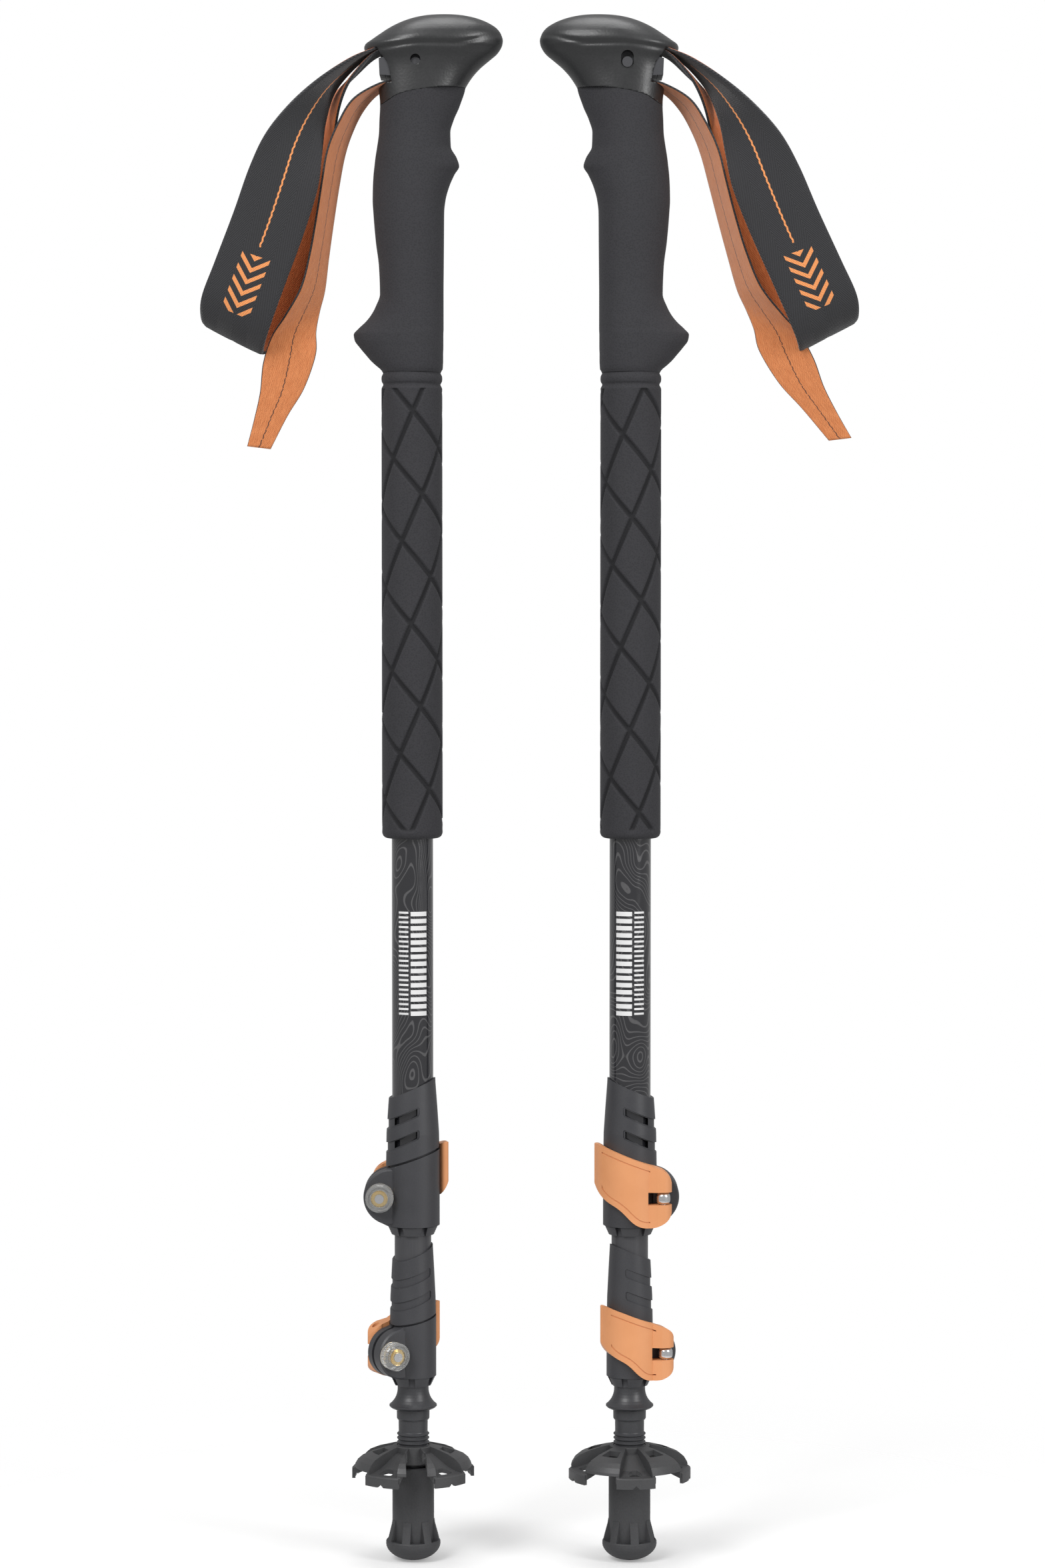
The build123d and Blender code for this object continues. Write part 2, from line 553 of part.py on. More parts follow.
# walls that join both levels
PANEL_WALL = [(8.0, 50.2), (8.8, 50.2), (12.0, 49.5), (18.0, 47.8), (22.0, 46.1), (24.2, 44.3),
              (25.3, 42.4), (25.5, 41.0), (26.2, 40.4), (26.2, 38.0), (23.0, 39.0),
              (18.0, 40.7), (13.4, 43.4), (9.6, 45.8), (8.0, 46.0)]
# opening of a low panel, (x, y) with the panel centred on +X
OPENING = [(18.4, -1.0), (18.4, 1.0), (19.6, 2.3), (21.6, 3.3), (22.9, 3.0), (23.3, 2.0),
           (23.3, -2.0), (22.9, -3.0), (21.6, -3.3), (19.6, -2.3)]
NOTCH_HALF = 4.6                             # half width of the open notch


def panel_sector(centre, half):
    return sector(centre - half, centre + half, 30.0, 56.0, 8)


def basket():
    high, low, wall = turned(HIGH_PANEL), turned(LOW_PANEL), turned(PANEL_WALL)
    body = turned(HUB)
    for i in range(5):
        centre = BASKET_NOTCH + BASKET_PITCH * (i + 0.5)
        turn = Rot(0, 0, centre)
        panel = low & panel_sector(centre, PANEL_HALF + 0.6)
        panel = panel - turn * slab_xy(OPENING, 30, 60)
        # V notch in the lower edge of the skirt
        panel = panel - turn * (Pos(26, 0, 35.9) * (Rot(45, 0, 0) * Box(6, 2.2, 2.2)))
        body = body + panel
        for side in (-1, 1):
            body = body + (wall & panel_sector(centre + side * PANEL_HALF, 1.6))
    for i in range(1, 5):
        centre = BASKET_NOTCH + BASKET_PITCH * i
        panel = high & panel_sector(centre, PANEL_HALF + 1.2)
        # crescent pocket near the hub
        pocket = cylinder(18.2, 46.4, 56) - cylinder(12.8, 40, 60)
        body = body + (panel - (pocket & panel_sector(centre, 12.5)))
    # two narrow tabs either side of the open notch
    turn = Rot(0, 0, BASKET_NOTCH)
    tabs = high & panel_sector(BASKET_NOTCH, PANEL_HALF + 1.2)
    tabs = tabs - turn * box(10.6, 40, -NOTCH_HALF, NOTCH_HALF, 30, 60)
    tabs = tabs - turn * (Pos(10.6, 0, 45) * Cylinder(NOTCH_HALF, 40))
    body = body + tabs
    body = body - turn * box(11.2, 40, -NOTCH_HALF, NOTCH_HALF, 30, 49)
    return one(body - cylinder(THREAD_OD / 2 + RUN, 30, 60))


# ------------------------------------------------------------------ rubber foot
# outlines are (radius, z)
FOOT_BODY = [(0, 41.0), (8.7, 41.0), (9.15, 40.4), (9.15, 17.5), (8.9, 8.6), (8.9, 7.6), (0, 7.6)]
FOOT_BULB = [(0, 8.2), (11.5, 8.4), (11.9, 7.8), (11.95, 6.6), (11.75, 5.5), (11.3, 4.5),
             (10.6, 3.5), (9.7, 2.6), (8.7, 1.8), (7.6, 1.15), (6.5, 0.65), (5.4, 0.25),
             (4.7, 0.06), (4.2, 0.0), (0, 0)]
FOOT_FLARE = [(8.0, 17.5), (9.3, 17.5), (9.6, 15.6), (10.2, 13.4), (10.9, 10.8), (11.6, 8.0),
              (8.0, 8.0)]
FOOT_BORE = [(0, 45), (6.4, 45), (6.4, 24.0), (5.75, 15.4), (4.4, 11.2), (2.4, 11.2),
             (2.4, 5.6), (0, 5.6)]
FOOT_RIBS = 7


def rubber_foot():
    foot = turned(FOOT_BODY) + turned(FOOT_BULB)
    flare = turned(FOOT_FLARE)
    for i in range(FOOT_RIBS):
        turn = Rot(0, 0, -105 + 360 / FOOT_RIBS * i)
        foot = foot + (flare & (turn * box(6, 14, -1.8, 1.8, 6, 19)))
    return one(foot - turned(FOOT_BORE))


# ------------------------------------------------------------------ wrist strap
# outlines are (x, z)
STRAP_LOOP = [(-26.5, 654.5), (-33, 649.5), (-39.6, 641.7), (-50, 632), (-63, 618.4),
              (-71, 604.1), (-78.5, 588), (-84.2, 573), (-89, 559), (-93.0, 549),
              (-94.0, 543.3), (-91.5, 539.0), (-80, 532.0), (-66, 525.2), (-63.5, 527.2),
              (-58.7, 548.5), (-51.5, 566), (-44, 582), (-39.6, 597.7), (-38.2, 608),
              (-37.0, 617), (-32, 628), (-27, 638), (-24.0, 646)]
STRAP_CORE = [(-36.5, 660), (-90, 660), (-130, 620), (-130, 560), (-95, 553.5), (-86, 549.5),
              (-62, 536.5), (-40, 530), (-20, 580), (-20, 612), (-34.5, 624)]
STRAP_STUB = [(-22.2, 654.2), (-27.5, 655), (-30, 650), (-27, 640), (-22.2, 645.5)]
STRAP_TAIL = [(-22.2, 646.2), (-28, 645), (-33.4, 626), (-37.4, 608), (-43, 583.4), (-52, 562),
              (-61.5, 545), (-65, 528), (-69, 510), (-73, 487.5), (-60, 485.4), (-54, 500),
              (-41.8, 512), (-41.0, 530), (-41.2, 544), (-40.5, 557.5), (-37.6, 583.4),
              (-34.2, 608), (-30.2, 626), (-22.2, 640)]
STUB_HALF = 10.8                             # half width where the strap meets the head


def wrist_strap():
    strap = slab_xz(STRAP_LOOP, -15.5, 15.5) - slab_xz(STRAP_CORE, -12.6, 12.6)
    # narrowed beside the head
    for y0, y1 in ((STUB_HALF, 20), (-20, -STUB_HALF)):
        strap = strap - box(-36, 0, y0, y1, 600, 680)
    stub = slab_xz(STRAP_STUB, -STUB_HALF, STUB_HALF)
    return one(strap + stub + slab_xz(STRAP_TAIL, -1.2, 1.2))


# ------------------------------------------------------------------ assembly
def pole():
    parts = {
        "grip_head": grip_head(),
        "grip_foam": grip_foam(),
        "extension_foam": extension_foam(),
        "upper_shaft": tube(UPPER_OD, UPPER_ID, UPPER_BOTTOM, UPPER_TOP),
        "strap_wedge": strap_wedge(),
        "strap_pin": strap_pin(),
        "wrist_strap": wrist_strap(),
        "middle_shaft": tube(MIDDLE_OD, MIDDLE_ID, MIDDLE_BOTTOM, MIDDLE_TOP),
        "middle_end_plug": end_plug(MIDDLE_ID, UPPER_ID, 606, MIDDLE_TOP, 628.5, 4.0),
        "lower_shaft": tube(LOWER_OD, LOWER_ID, LOWER_BOTTOM, LOWER_TOP),
        "lower_end_plug": end_plug(LOWER_ID, MIDDLE_ID, 584, LOWER_TOP, 602, 3.4),
        "tip_ferrule": tip_ferrule(),
        "carbide_tip": carbide_tip(),
        "basket": basket(),
        "rubber_foot": rubber_foot(),
    }
    for level, lock in (("upper", UPPER_LOCK), ("lower", LOWER_LOCK)):
        for name, build in LOCK_PARTS.items():
            parts[f"{level}_lock_{name}"] = build(lock)
    return parts


os.makedirs("parts", exist_ok=True)
PARTS = pole()
for side, x, turn in (("left", -POLE_SPACING / 2, 0.0), ("right", POLE_SPACING / 2, 180.0)):
    for name, shape in PARTS.items():
        extra = LOWER_LOCK_TURN[side] if name.startswith("lower_lock_") else 0.0
        placed = Pos(x, 0, 0) * (Rot(0, 0, turn + extra) * shape)
        export_step(placed, f"parts/{side}_{name}.step")
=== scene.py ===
"""A pair of walking poles with foam grips, lever locks and webbing wrist straps.

The poles stand upright on the floor at z = 0, their axes at x = -AXIS_X and x = +AXIS_X, y = 0.
The camera looks along +Y.  The rebuilt grips, heads and straps are drawn in millimetres in a
pole frame centred on the axis: the nose of the head points to +x and the strap hangs on -x.
The pole frame has the scene's directions on the left pole and is half-turned on the right one,
so both noses point inwards and both straps outwards.
"""
import bpy, bmesh, json, math
import numpy as np
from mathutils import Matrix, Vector


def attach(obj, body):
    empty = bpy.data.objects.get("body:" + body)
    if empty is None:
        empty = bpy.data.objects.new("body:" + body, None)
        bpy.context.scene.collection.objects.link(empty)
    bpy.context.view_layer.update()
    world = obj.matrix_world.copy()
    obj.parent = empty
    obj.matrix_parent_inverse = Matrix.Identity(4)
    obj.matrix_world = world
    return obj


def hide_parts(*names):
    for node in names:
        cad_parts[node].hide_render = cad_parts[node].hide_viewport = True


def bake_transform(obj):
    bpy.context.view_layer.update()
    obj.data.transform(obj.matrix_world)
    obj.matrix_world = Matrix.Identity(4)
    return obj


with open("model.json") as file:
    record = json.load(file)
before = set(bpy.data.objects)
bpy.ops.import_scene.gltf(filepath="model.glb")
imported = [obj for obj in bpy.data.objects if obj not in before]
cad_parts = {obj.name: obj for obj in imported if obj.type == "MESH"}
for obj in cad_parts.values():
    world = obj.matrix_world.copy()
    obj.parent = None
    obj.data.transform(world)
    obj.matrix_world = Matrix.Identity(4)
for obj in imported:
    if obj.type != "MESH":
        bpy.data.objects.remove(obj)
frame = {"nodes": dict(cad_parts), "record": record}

for default_name in ("Cube", "Light", "Camera"):
    if default_name in bpy.data.objects and default_name not in frame["nodes"]:
        bpy.data.objects.remove(bpy.data.objects[default_name])
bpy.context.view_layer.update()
MM = 0.001
AXIS_X = 0.0475
SIDES = {"left": (-AXIS_X, 1.0), "right": (AXIS_X, -1.0)}   # x of the axis, sign of local x and y


# ===================================================================== shader helper
class Shader:
    """A new node material, with short ways to add nodes.  Values are sockets or constants."""

    def __init__(self, name):
        self.material = bpy.data.materials.new(name)
        self.material.use_nodes = True
        self.tree = self.material.node_tree
        self.principled = self.tree.nodes["Principled BSDF"]

    def feed(self, socket, value):
        if isinstance(value, bpy.types.NodeSocket):
            self.tree.links.new(value, socket)
        elif socket.type == "RGBA":
            socket.default_value = (*value, 1)
        else:
            socket.default_value = value

    def node(self, kind, inputs, **settings):
        node = self.tree.nodes.new(kind)
        for key, value in settings.items():
            setattr(node, key, value)
        for key, value in inputs.items():
            self.feed(node.inputs[key], value)
        return node

    def surface(self, inputs):
        for key, value in inputs.items():
            self.feed(self.principled.inputs[key], value)

    def uneven_roughness(self, pattern, smooth, rough):
        roughness = self.remap(pattern, source=(0.3, 0.7), target=(smooth, rough))
        self.surface({"Roughness": roughness})

    def bump(self, height, strength, distance):
        inputs = {"Strength": strength, "Distance": distance, "Height": height}
        self.surface({"Normal": self.node("ShaderNodeBump", inputs).outputs[0]})

    def object_coords(self):
        return self.node("ShaderNodeTexCoord", {}).outputs["Object"]

    def attribute(self, name):
        return self.node("ShaderNodeAttribute", {}, attribute_name=name).outputs["Fac"]

    def split(self, vector):
        return tuple(self.node("ShaderNodeSeparateXYZ", {0: vector}).outputs)

    def noise(self, vector, scale, detail, roughness=0.5):
        inputs = {"Scale": scale, "Detail": detail, "Roughness": roughness, "Vector": vector}
        return self.node("ShaderNodeTexNoise", inputs).outputs[0]

    def voronoi(self, vector, scale, feature="F1"):
        inputs = {"Scale": scale, "Vector": vector}
        return self.node("ShaderNodeTexVoronoi", inputs, feature=feature).outputs[0]

    def mix(self, factor, low, high):
        """Colour that goes from low to high as the factor goes from 0 to 1."""
        inputs = {0: factor, 6: low, 7: high}
        return self.node("ShaderNodeMix", inputs, data_type="RGBA").outputs[2]

    def remap(self, value, source, target):
        inputs = {0: value, 1: source[0], 2: source[1], 3: target[0], 4: target[1]}
        return self.node("ShaderNodeMapRange", inputs).outputs[0]

    def math(self, operation, *terms, clamp=False):
        inputs = dict(enumerate(terms))
        return self.node("ShaderNodeMath", inputs, operation=operation, use_clamp=clamp).outputs[0]

    def times(self, first, second):
        return self.math("MULTIPLY", first, second)

    def plus(self, base, extra, weight):
        return self.math("ADD", base, self.times(extra, weight))

    def above(self, value, limit):
        return self.math("GREATER_THAN", value, limit)

    def below(self, value, limit):
        return self.math("LESS_THAN", value, limit)

    def between(self, value, low, high):
        return self.times(self.above(value, low), self.below(value, high))

    def repeat(self, value):
        return self.math("FRACT", value)

    def ridges(self, value):
        """Triangle wave of period 1, from 0.5 down to 0 and back."""
        return self.math("ABSOLUTE", self.math("SUBTRACT", self.repeat(value), 0.5))


def scaled(colour, factor, lift=0.0):
    return tuple(channel * factor + lift for channel in colour)


# ===================================================================== materials
def moulded(name, colour, roughness, grain=900.0, strength=0.25, distance=0.00012,
            leather=False, specular=0.5):
    """Moulded plastic or rubber: fine grain, slight variation of colour and gloss."""
    shade = 0.12                        # depth of the colour variation
    shader = Shader(name)
    place = shader.object_coords()
    patches = shader.noise(place, scale=60, detail=4, roughness=0.6)
    height = shader.noise(place, scale=grain, detail=2)
    base = shader.mix(patches, low=scaled(colour, 1 - shade), high=scaled(colour, 1 + shade * 1.2))
    specks = shader.remap(height, source=(0.35, 0.7), target=(0.0, 0.35))
    base = shader.mix(specks, low=base, high=scaled(colour, 1.35, lift=0.004))
    shader.surface({"Base Color": base, "Specular IOR Level": specular})
    shader.uneven_roughness(patches, smooth=roughness - 0.07, rough=roughness + 0.08)
    if leather:
        cells = shader.voronoi(place, scale=grain, feature="SMOOTH_F1")
        height = shader.plus(shader.times(cells, 0.8), height, weight=0.4)
    shader.bump(height, strength, distance)
    return shader.material


def eva_foam():
    """Fine-celled foam with painted shade in the grooves, where the mesh attribute "groove" is
    high.
    """
    shader = Shader("eva_foam")
    place = shader.object_coords()
    patches = shader.noise(place, scale=45, detail=3, roughness=0.6)
    grit = shader.noise(place, scale=1500, detail=3, roughness=0.6)
    cells = shader.voronoi(place, scale=1300)
    colour = shader.mix(patches, low=(0.022, 0.022, 0.0245), high=(0.031, 0.0305, 0.034))
    specks = shader.remap(cells, source=(0.15, 0.6), target=(0.0, 0.45))
    colour = shader.mix(specks, low=colour, high=(0.044, 0.0435, 0.048))
    # painted shade: the foam is darkened towards near-black inside the grooves
    painted_groove_shade = shader.times(shader.attribute("groove"), 0.72)
    colour = shader.mix(painted_groove_shade, low=colour, high=(0.009, 0.009, 0.010))
    shader.surface({"Base Color": colour, "Roughness": 0.82, "Specular IOR Level": 0.22,
                    "Sheen Weight": 0.05, "Sheen Roughness": 0.5})
    height = shader.plus(shader.times(cells, 0.7), grit, weight=0.6)
    shader.bump(height, strength=0.35, distance=0.00018)
    return shader.material


# Print on the tubes, in metres: x range outwards from the pole axis, z range,
# pitch of the bars, share of the pitch that is printed.
LADDERS = [
    (-0.0062, 0.0006, 0.240, 0.2861, 0.0031, 0.62),
    (0.0016, 0.0058, 0.2404, 0.2862, 0.0021, 0.42),
]
CONTOUR_START_Z = 0.2015                # no contour lines below this height


def contour_tube():
    """Gloss black tube with thin grey contour lines and two printed ladders of short bars."""
    shader = Shader("tube_gloss_contour")
    place = shader.object_coords()
    # the contour lines are level lines of a slow noise stretched along z
    mapping = {"Location": (0.3, 0.12, 0.7), "Scale": (1.0, 1.0, 0.62), "Vector": place}
    stretched = shader.node("ShaderNodeMapping", mapping).outputs[0]
    terrain = shader.noise(stretched, scale=46.0, detail=1.2, roughness=0.4)
    levels = 34.0
    to_line = shader.ridges(shader.times(terrain, levels))
    line = shader.remap(to_line, source=(0.07, 0.13), target=(1.0, 0.0))
    line = shader.times(line, shader.above(shader.split(place)[2], CONTOUR_START_Z))
    colour = shader.mix(line, low=(0.0165, 0.0165, 0.0195), high=(0.078, 0.077, 0.080))

    x, y, z = shader.split(place)
    outward = shader.math("SUBTRACT", shader.math("ABSOLUTE", x), AXIS_X)
    front = shader.below(y, 0.0)
    mark = None
    for x_low, x_high, z_low, z_high, pitch, share in LADDERS:
        rise = shader.math("DIVIDE", shader.math("SUBTRACT", z, z_low), pitch)
        bar = shader.below(shader.repeat(rise), share)
        box = shader.times(shader.between(outward, x_low, x_high), shader.between(z, z_low, z_high))
        ladder = shader.times(box, bar)
        mark = ladder if mark is None else shader.math("ADD", mark, ladder, clamp=True)
    colour = shader.mix(shader.times(mark, front), low=colour, high=(0.72, 0.72, 0.72))
    shader.surface({"Base Color": colour, "Coat Weight": 0.6, "Coat Roughness": 0.08})
    smudges = shader.noise(place, scale=260, detail=2)
    shader.uneven_roughness(smudges, smooth=0.13, rough=0.19)
    shader.bump(shader.times(line, 1.0), strength=0.25, distance=0.00002)
    return shader.material


def metal(name, colour, roughness):
    shader = Shader(name)
    grain = shader.noise(shader.object_coords(), scale=2500, detail=3, roughness=0.6)
    tint = shader.mix(grain, low=scaled(colour, 0.85), high=scaled(colour, 1.12))
    shader.surface({"Base Color": tint, "Metallic": 1.0})
    shader.uneven_roughness(grain, smooth=roughness * 0.8, rough=roughness * 1.3)
    shader.bump(grain, strength=0.15, distance=0.00003)
    return shader.material


def dark_tube():
    """Dark satin tube with fine drawn lines along its length."""
    shader = Shader("tube_satin_dark")
    place = shader.object_coords()
    mapping = {"Scale": (1.0, 1.0, 0.02), "Vector": place}
    stretched = shader.node("ShaderNodeMapping", mapping).outputs[0]
    drawn = shader.noise(stretched, scale=1800, detail=2)
    patches = shader.noise(place, scale=80, detail=3)
    colour = shader.mix(drawn, low=(0.038, 0.038, 0.042), high=(0.055, 0.055, 0.06))
    shader.surface({"Base Color": colour, "Specular IOR Level": 0.6})
    shader.uneven_roughness(patches, smooth=0.28, rough=0.42)
    shader.bump(drawn, strength=0.12, distance=0.00003)
    return shader.material


def orange_lever():
    shader = Shader("lever_orange")
    place = shader.object_coords()
    patches = shader.noise(place, scale=70, detail=3)
    grain = shader.noise(place, scale=1500, detail=2)
    colour = shader.mix(patches, low=(0.62, 0.255, 0.100), high=(0.73, 0.325, 0.145))
    shader.surface({"Base Color": colour, "Roughness": 0.44})
    shader.bump(grain, strength=0.16, distance=0.00008)
    return shader.material


def clear_knob():
    shader = Shader("clear_knob")
    grain = shader.noise(shader.object_coords(), scale=900, detail=2)
    colour = shader.mix(grain, low=(0.94, 0.95, 0.94), high=(0.99, 0.99, 0.98))
    shader.surface({"Base Color": colour, "Transmission Weight": 0.86, "IOR": 1.45})
    shader.uneven_roughness(grain, smooth=0.03, rough=0.09)
    shader.bump(grain, strength=0.15, distance=0.00004)
    return shader.material


# Weave of each webbing: bump weight of the twill ribs, colour of the valleys with painted shade,
# colour of the crests with painted light.
WEAVES = {
    "black": (1.2, (0.012, 0.012, 0.013), (0.045, 0.045, 0.049)),
    "orange": (0.7, (0.42, 0.105, 0.025), (0.68, 0.215, 0.07)),
    "tail": (0.7, (0.50, 0.155, 0.050), (0.76, 0.295, 0.115)),
}
# Marks on the webbing, in mm
STITCH_START = 30.0
STITCH_END = 122.0
STITCH_HALF_WIDTH = 0.40
CHEVRON_START = STITCH_END + 4.0
CHEVRON_END = STITCH_END + 30.0
CHEVRON_HALF_WIDTH = 6.3
TAIL_STITCH_HALF_WIDTH = 0.24


def stitch_offset(shader, across, along):
    """Distance from a centre stitch that wavers slightly from side to side."""
    wave = shader.math("SINE", shader.times(along, 2.2))
    return shader.math("ABSOLUTE", shader.plus(across, wave, weight=0.16))


def black_marks(shader, across, along):
    """Centre stitch, then a woven motif of chevron bars."""
    stitch = shader.below(stitch_offset(shader, across, along), STITCH_HALF_WIDTH)
    stitch = shader.times(stitch, shader.between(along, STITCH_START, STITCH_END))
    zone = shader.between(along, CHEVRON_START, CHEVRON_END)
    from_centre = shader.math("ABSOLUTE", across)
    slant, bars_per_mm, bar_share = 0.9, 0.19, 0.42
    slanted = shader.plus(along, from_centre, weight=slant)
    bars = shader.below(shader.repeat(shader.times(slanted, bars_per_mm)), bar_share)
    bars = shader.times(bars, shader.below(from_centre, CHEVRON_HALF_WIDTH))
    return shader.math("ADD", stitch, shader.times(zone, bars), clamp=True)


def tail_marks(shader, across, along):
    """Dashed centre stitch and the two borders of the tape."""
    dashes_per_mm, dash_share, stitch_opacity = 0.21, 0.93, 0.9
    dash = shader.below(shader.repeat(shader.times(along, dashes_per_mm)), dash_share)
    stitch = shader.below(stitch_offset(shader, across, along), TAIL_STITCH_HALF_WIDTH)
    stitch = shader.times(stitch, dash)
    border = shader.above(shader.attribute("edge"), 0.5)
    return shader.math("ADD", shader.times(stitch, stitch_opacity), border, clamp=True)


def webbing(name, kind):
    """Woven tape.  The UV map "weave" holds mm: u across from the centre line, v along."""
    rib_weight, painted_valley_shade, painted_crest_light = WEAVES[kind]
    lane_width = 7.0                    # the twill changes direction at every lane
    lane_shift = 98.0                   # a whole number of lanes, keeps the position positive
    twill_slope, ribs_per_mm, yarns_per_mm = 1.9, 0.62, 1.9
    shader = Shader(name)
    uv = shader.node("ShaderNodeUVMap", {}, uv_map="weave").outputs[0]
    across, along, _ = shader.split(uv)
    zigzag = shader.math("PINGPONG", shader.math("ADD", across, lane_shift), lane_width)
    twill = shader.plus(along, zigzag, weight=twill_slope)
    ribs = shader.ridges(shader.times(twill, ribs_per_mm))
    yarns = shader.ridges(shader.times(across, yarns_per_mm))
    height = shader.plus(shader.times(ribs, rib_weight), yarns, weight=0.5)
    if kind != "black":
        # loose yarns running along the tape
        mapping = {"Scale": (1.0, 0.09, 1.0), "Vector": uv}
        stretched = shader.node("ShaderNodeMapping", mapping).outputs[0]
        loose = shader.noise(stretched, scale=2.6, detail=3.0)
        height = shader.plus(height, shader.math("SUBTRACT", loose, 0.5), weight=1.3)
    fuzz = shader.noise(shader.object_coords(), scale=2600, detail=3, roughness=0.6)
    height = shader.plus(height, fuzz, weight=0.4)
    # painted shade and light: the colour follows the height of the weave, darker in the valleys and
    # lighter on the crests
    shade = shader.remap(height, source=(0.2, 1.1), target=(0.0, 1.0))
    colour = shader.mix(shade, low=painted_valley_shade, high=painted_crest_light)
    if kind == "black":
        marks = black_marks(shader, across, along)
        colour = shader.mix(shader.times(marks, 0.94), low=colour, high=(0.80, 0.30, 0.10))
        height = shader.plus(height, marks, weight=1.0)
    elif kind == "tail":
        marks = tail_marks(shader, across, along)
        colour = shader.mix(shader.times(marks, 0.96), low=colour, high=(0.022, 0.022, 0.025))
    shader.surface({"Base Color": colour, "Roughness": 0.85, "Specular IOR Level": 0.25,
                    "Sheen Weight": 0.25})
    shader.bump(height, strength=0.75, distance=0.00035)
    return shader.material


MATERIALS = {
    "head": moulded("head_satin", colour=(0.016, 0.0164, 0.0172), roughness=0.37, grain=1000,
                    strength=0.32, distance=0.00014, leather=True, specular=0.6),
    "foam": eva_foam(),
    "tube_gloss": contour_tube(),
    "tube_dark": dark_tube(),
    "lock": moulded("lock_grain", colour=(0.034, 0.0343, 0.0385), roughness=0.48, grain=2400,
                    strength=0.22, distance=0.0001),
    "lever": orange_lever(),
    "clear": clear_knob(),
    "brass": metal("insert_brass", colour=(0.80, 0.62, 0.34), roughness=0.25),
    "steel": metal("bolt_steel", colour=(0.72, 0.72, 0.73), roughness=0.22),
    "plug": moulded("plug_plastic", colour=(0.10, 0.10, 0.11), roughness=0.5),
    "ferrule": moulded("ferrule_plastic", colour=(0.032, 0.0325, 0.036), roughness=0.42,
                       grain=2000, strength=0.2),
    "carbide": metal("carbide", colour=(0.36, 0.36, 0.37), roughness=0.4),
    "basket": moulded("basket_plastic", colour=(0.042, 0.0422, 0.044), roughness=0.5,
                      grain=1800, strength=0.3, specular=0.45),
    "rubber": moulded("foot_rubber", colour=(0.035, 0.0353, 0.0375), roughness=0.6,
                      grain=1500, strength=0.3, specular=0.4),
    "web_black": webbing("webbing_black", "black"),
    "web_orange": webbing("webbing_orange", "orange"),
    "web_tail": webbing("webbing_tail", "tail"),
}


# ===================================================================== CAD pieces
def soften_edges(obj, name, width, angle_degrees):
    bevel = obj.modifiers.new(name, "BEVEL")
    bevel.width = width
    bevel.segments = 2
    bevel.limit_method = "ANGLE"
    bevel.angle_limit = math.radians(angle_degrees)
    obj.modifiers.new("normals", "WEIGHTED_NORMAL")


def smooth_shade(mesh):
    for polygon in mesh.polygons:
        polygon.use_smooth = True


FINE_EDGED = ("clear", "brass", "steel", "carbide")


def dress_cad_pieces():
    slots = {part["node"]: part["material_slot"] for part in frame["record"]["subparts"]}
    for name, obj in frame["nodes"].items():
        slot = slots[name]
        if slot == "webbing":
            material = "web_black"
        elif name.endswith("_strap_pin"):
            material = "lock"
        else:
            material = slot
        obj.data.materials.clear()
        obj.data.materials.append(MATERIALS[material])
        smooth_shade(obj.data)
        if slot != "webbing":
            width = 0.00010 if slot in FINE_EDGED else 0.00022
            soften_edges(obj, "soft_edges", width, angle_degrees=34)


dress_cad_pieces()


# ===================================================================== mesh helpers
def interpolate(rows, key):
    """Row of a table at the key (first column), by monotone cubic interpolation."""
    if key <= rows[0][0]:
        return rows[0][1:]
    if key >= rows[-1][0]:
        return rows[-1][1:]
    k = max(i for i in range(len(rows) - 1) if rows[i][0] <= key)
    span = rows[k + 1][0] - rows[k][0]
    t = (key - rows[k][0]) / span

    def slope(i, column):
        if i <= 0 or i >= len(rows) - 1:
            return 0.0
        before = (rows[i][column] - rows[i - 1][column]) / (rows[i][0] - rows[i - 1][0])
        after = (rows[i + 1][column] - rows[i][column]) / (rows[i + 1][0] - rows[i][0])
        return 0.0 if before * after <= 0 else 2 * before * after / (before + after)

    return tuple(
        (2 * t ** 3 - 3 * t ** 2 + 1) * rows[k][column]
        + (t ** 3 - 2 * t ** 2 + t) * span * slope(k, column)
        + (-2 * t ** 3 + 3 * t ** 2) * rows[k + 1][column]
        + (t ** 3 - t ** 2) * span * slope(k + 1, column)
        for column in range(1, len(rows[0])))


def smooth_step(low, high, value):
    t = np.clip((value - low) / (high - low), 0, 1)
    return t * t * (3 - 2 * t)


def circle_angles(count):
    return [2 * math.pi * j / count for j in range(count)]


def grid_faces(rows, columns):
    """Quads between successive closed rings."""
    faces = []
    for i in range(rows - 1):
        for j in range(columns):
            low, high, k = i * columns, (i + 1) * columns, (j + 1) % columns
            faces.append((low + j, low + k, high + k, high + j))
    return faces


def make_object(name, verts, faces, side, materials, material_index=None, uvs=None):
    """Object from vertices in mm in the pole frame, with its normals made to point out."""
    axis_x, sign = SIDES[side]
    scene_verts = np.array(verts, float) * MM
    scene_verts[:, 0] = axis_x + sign * scene_verts[:, 0]
    scene_verts[:, 1] *= sign
    mesh = bpy.data.meshes.new(name)
    mesh.from_pydata([tuple(point) for point in scene_verts], [], faces)
    mesh.update()
    for material in materials:
        mesh.materials.append(material)
    if material_index is not None:
        mesh.polygons.foreach_set("material_index", material_index)
    if uvs is not None:
        layer = mesh.uv_layers.new(name="weave")
        loop_verts = np.empty(len(mesh.loops), int)
        mesh.loops.foreach_get("vertex_index", loop_verts)
        layer.data.foreach_set("uv", np.array(uvs, float)[loop_verts].astype(np.float32).ravel())
    smooth_shade(mesh)
    obj = bpy.data.objects.new(name, mesh)
    bpy.context.scene.collection.objects.link(obj)
    bm = bmesh.new()
    bm.from_mesh(mesh)
    bmesh.ops.recalc_face_normals(bm, faces=bm.faces)
    bm.to_mesh(mesh)
    bm.free()
    return obj


def add_point_values(obj, name, values):
    attribute = obj.data.attributes.new(name, "FLOAT", "POINT")
    attribute.data.foreach_set("value", np.array(values, np.float32))


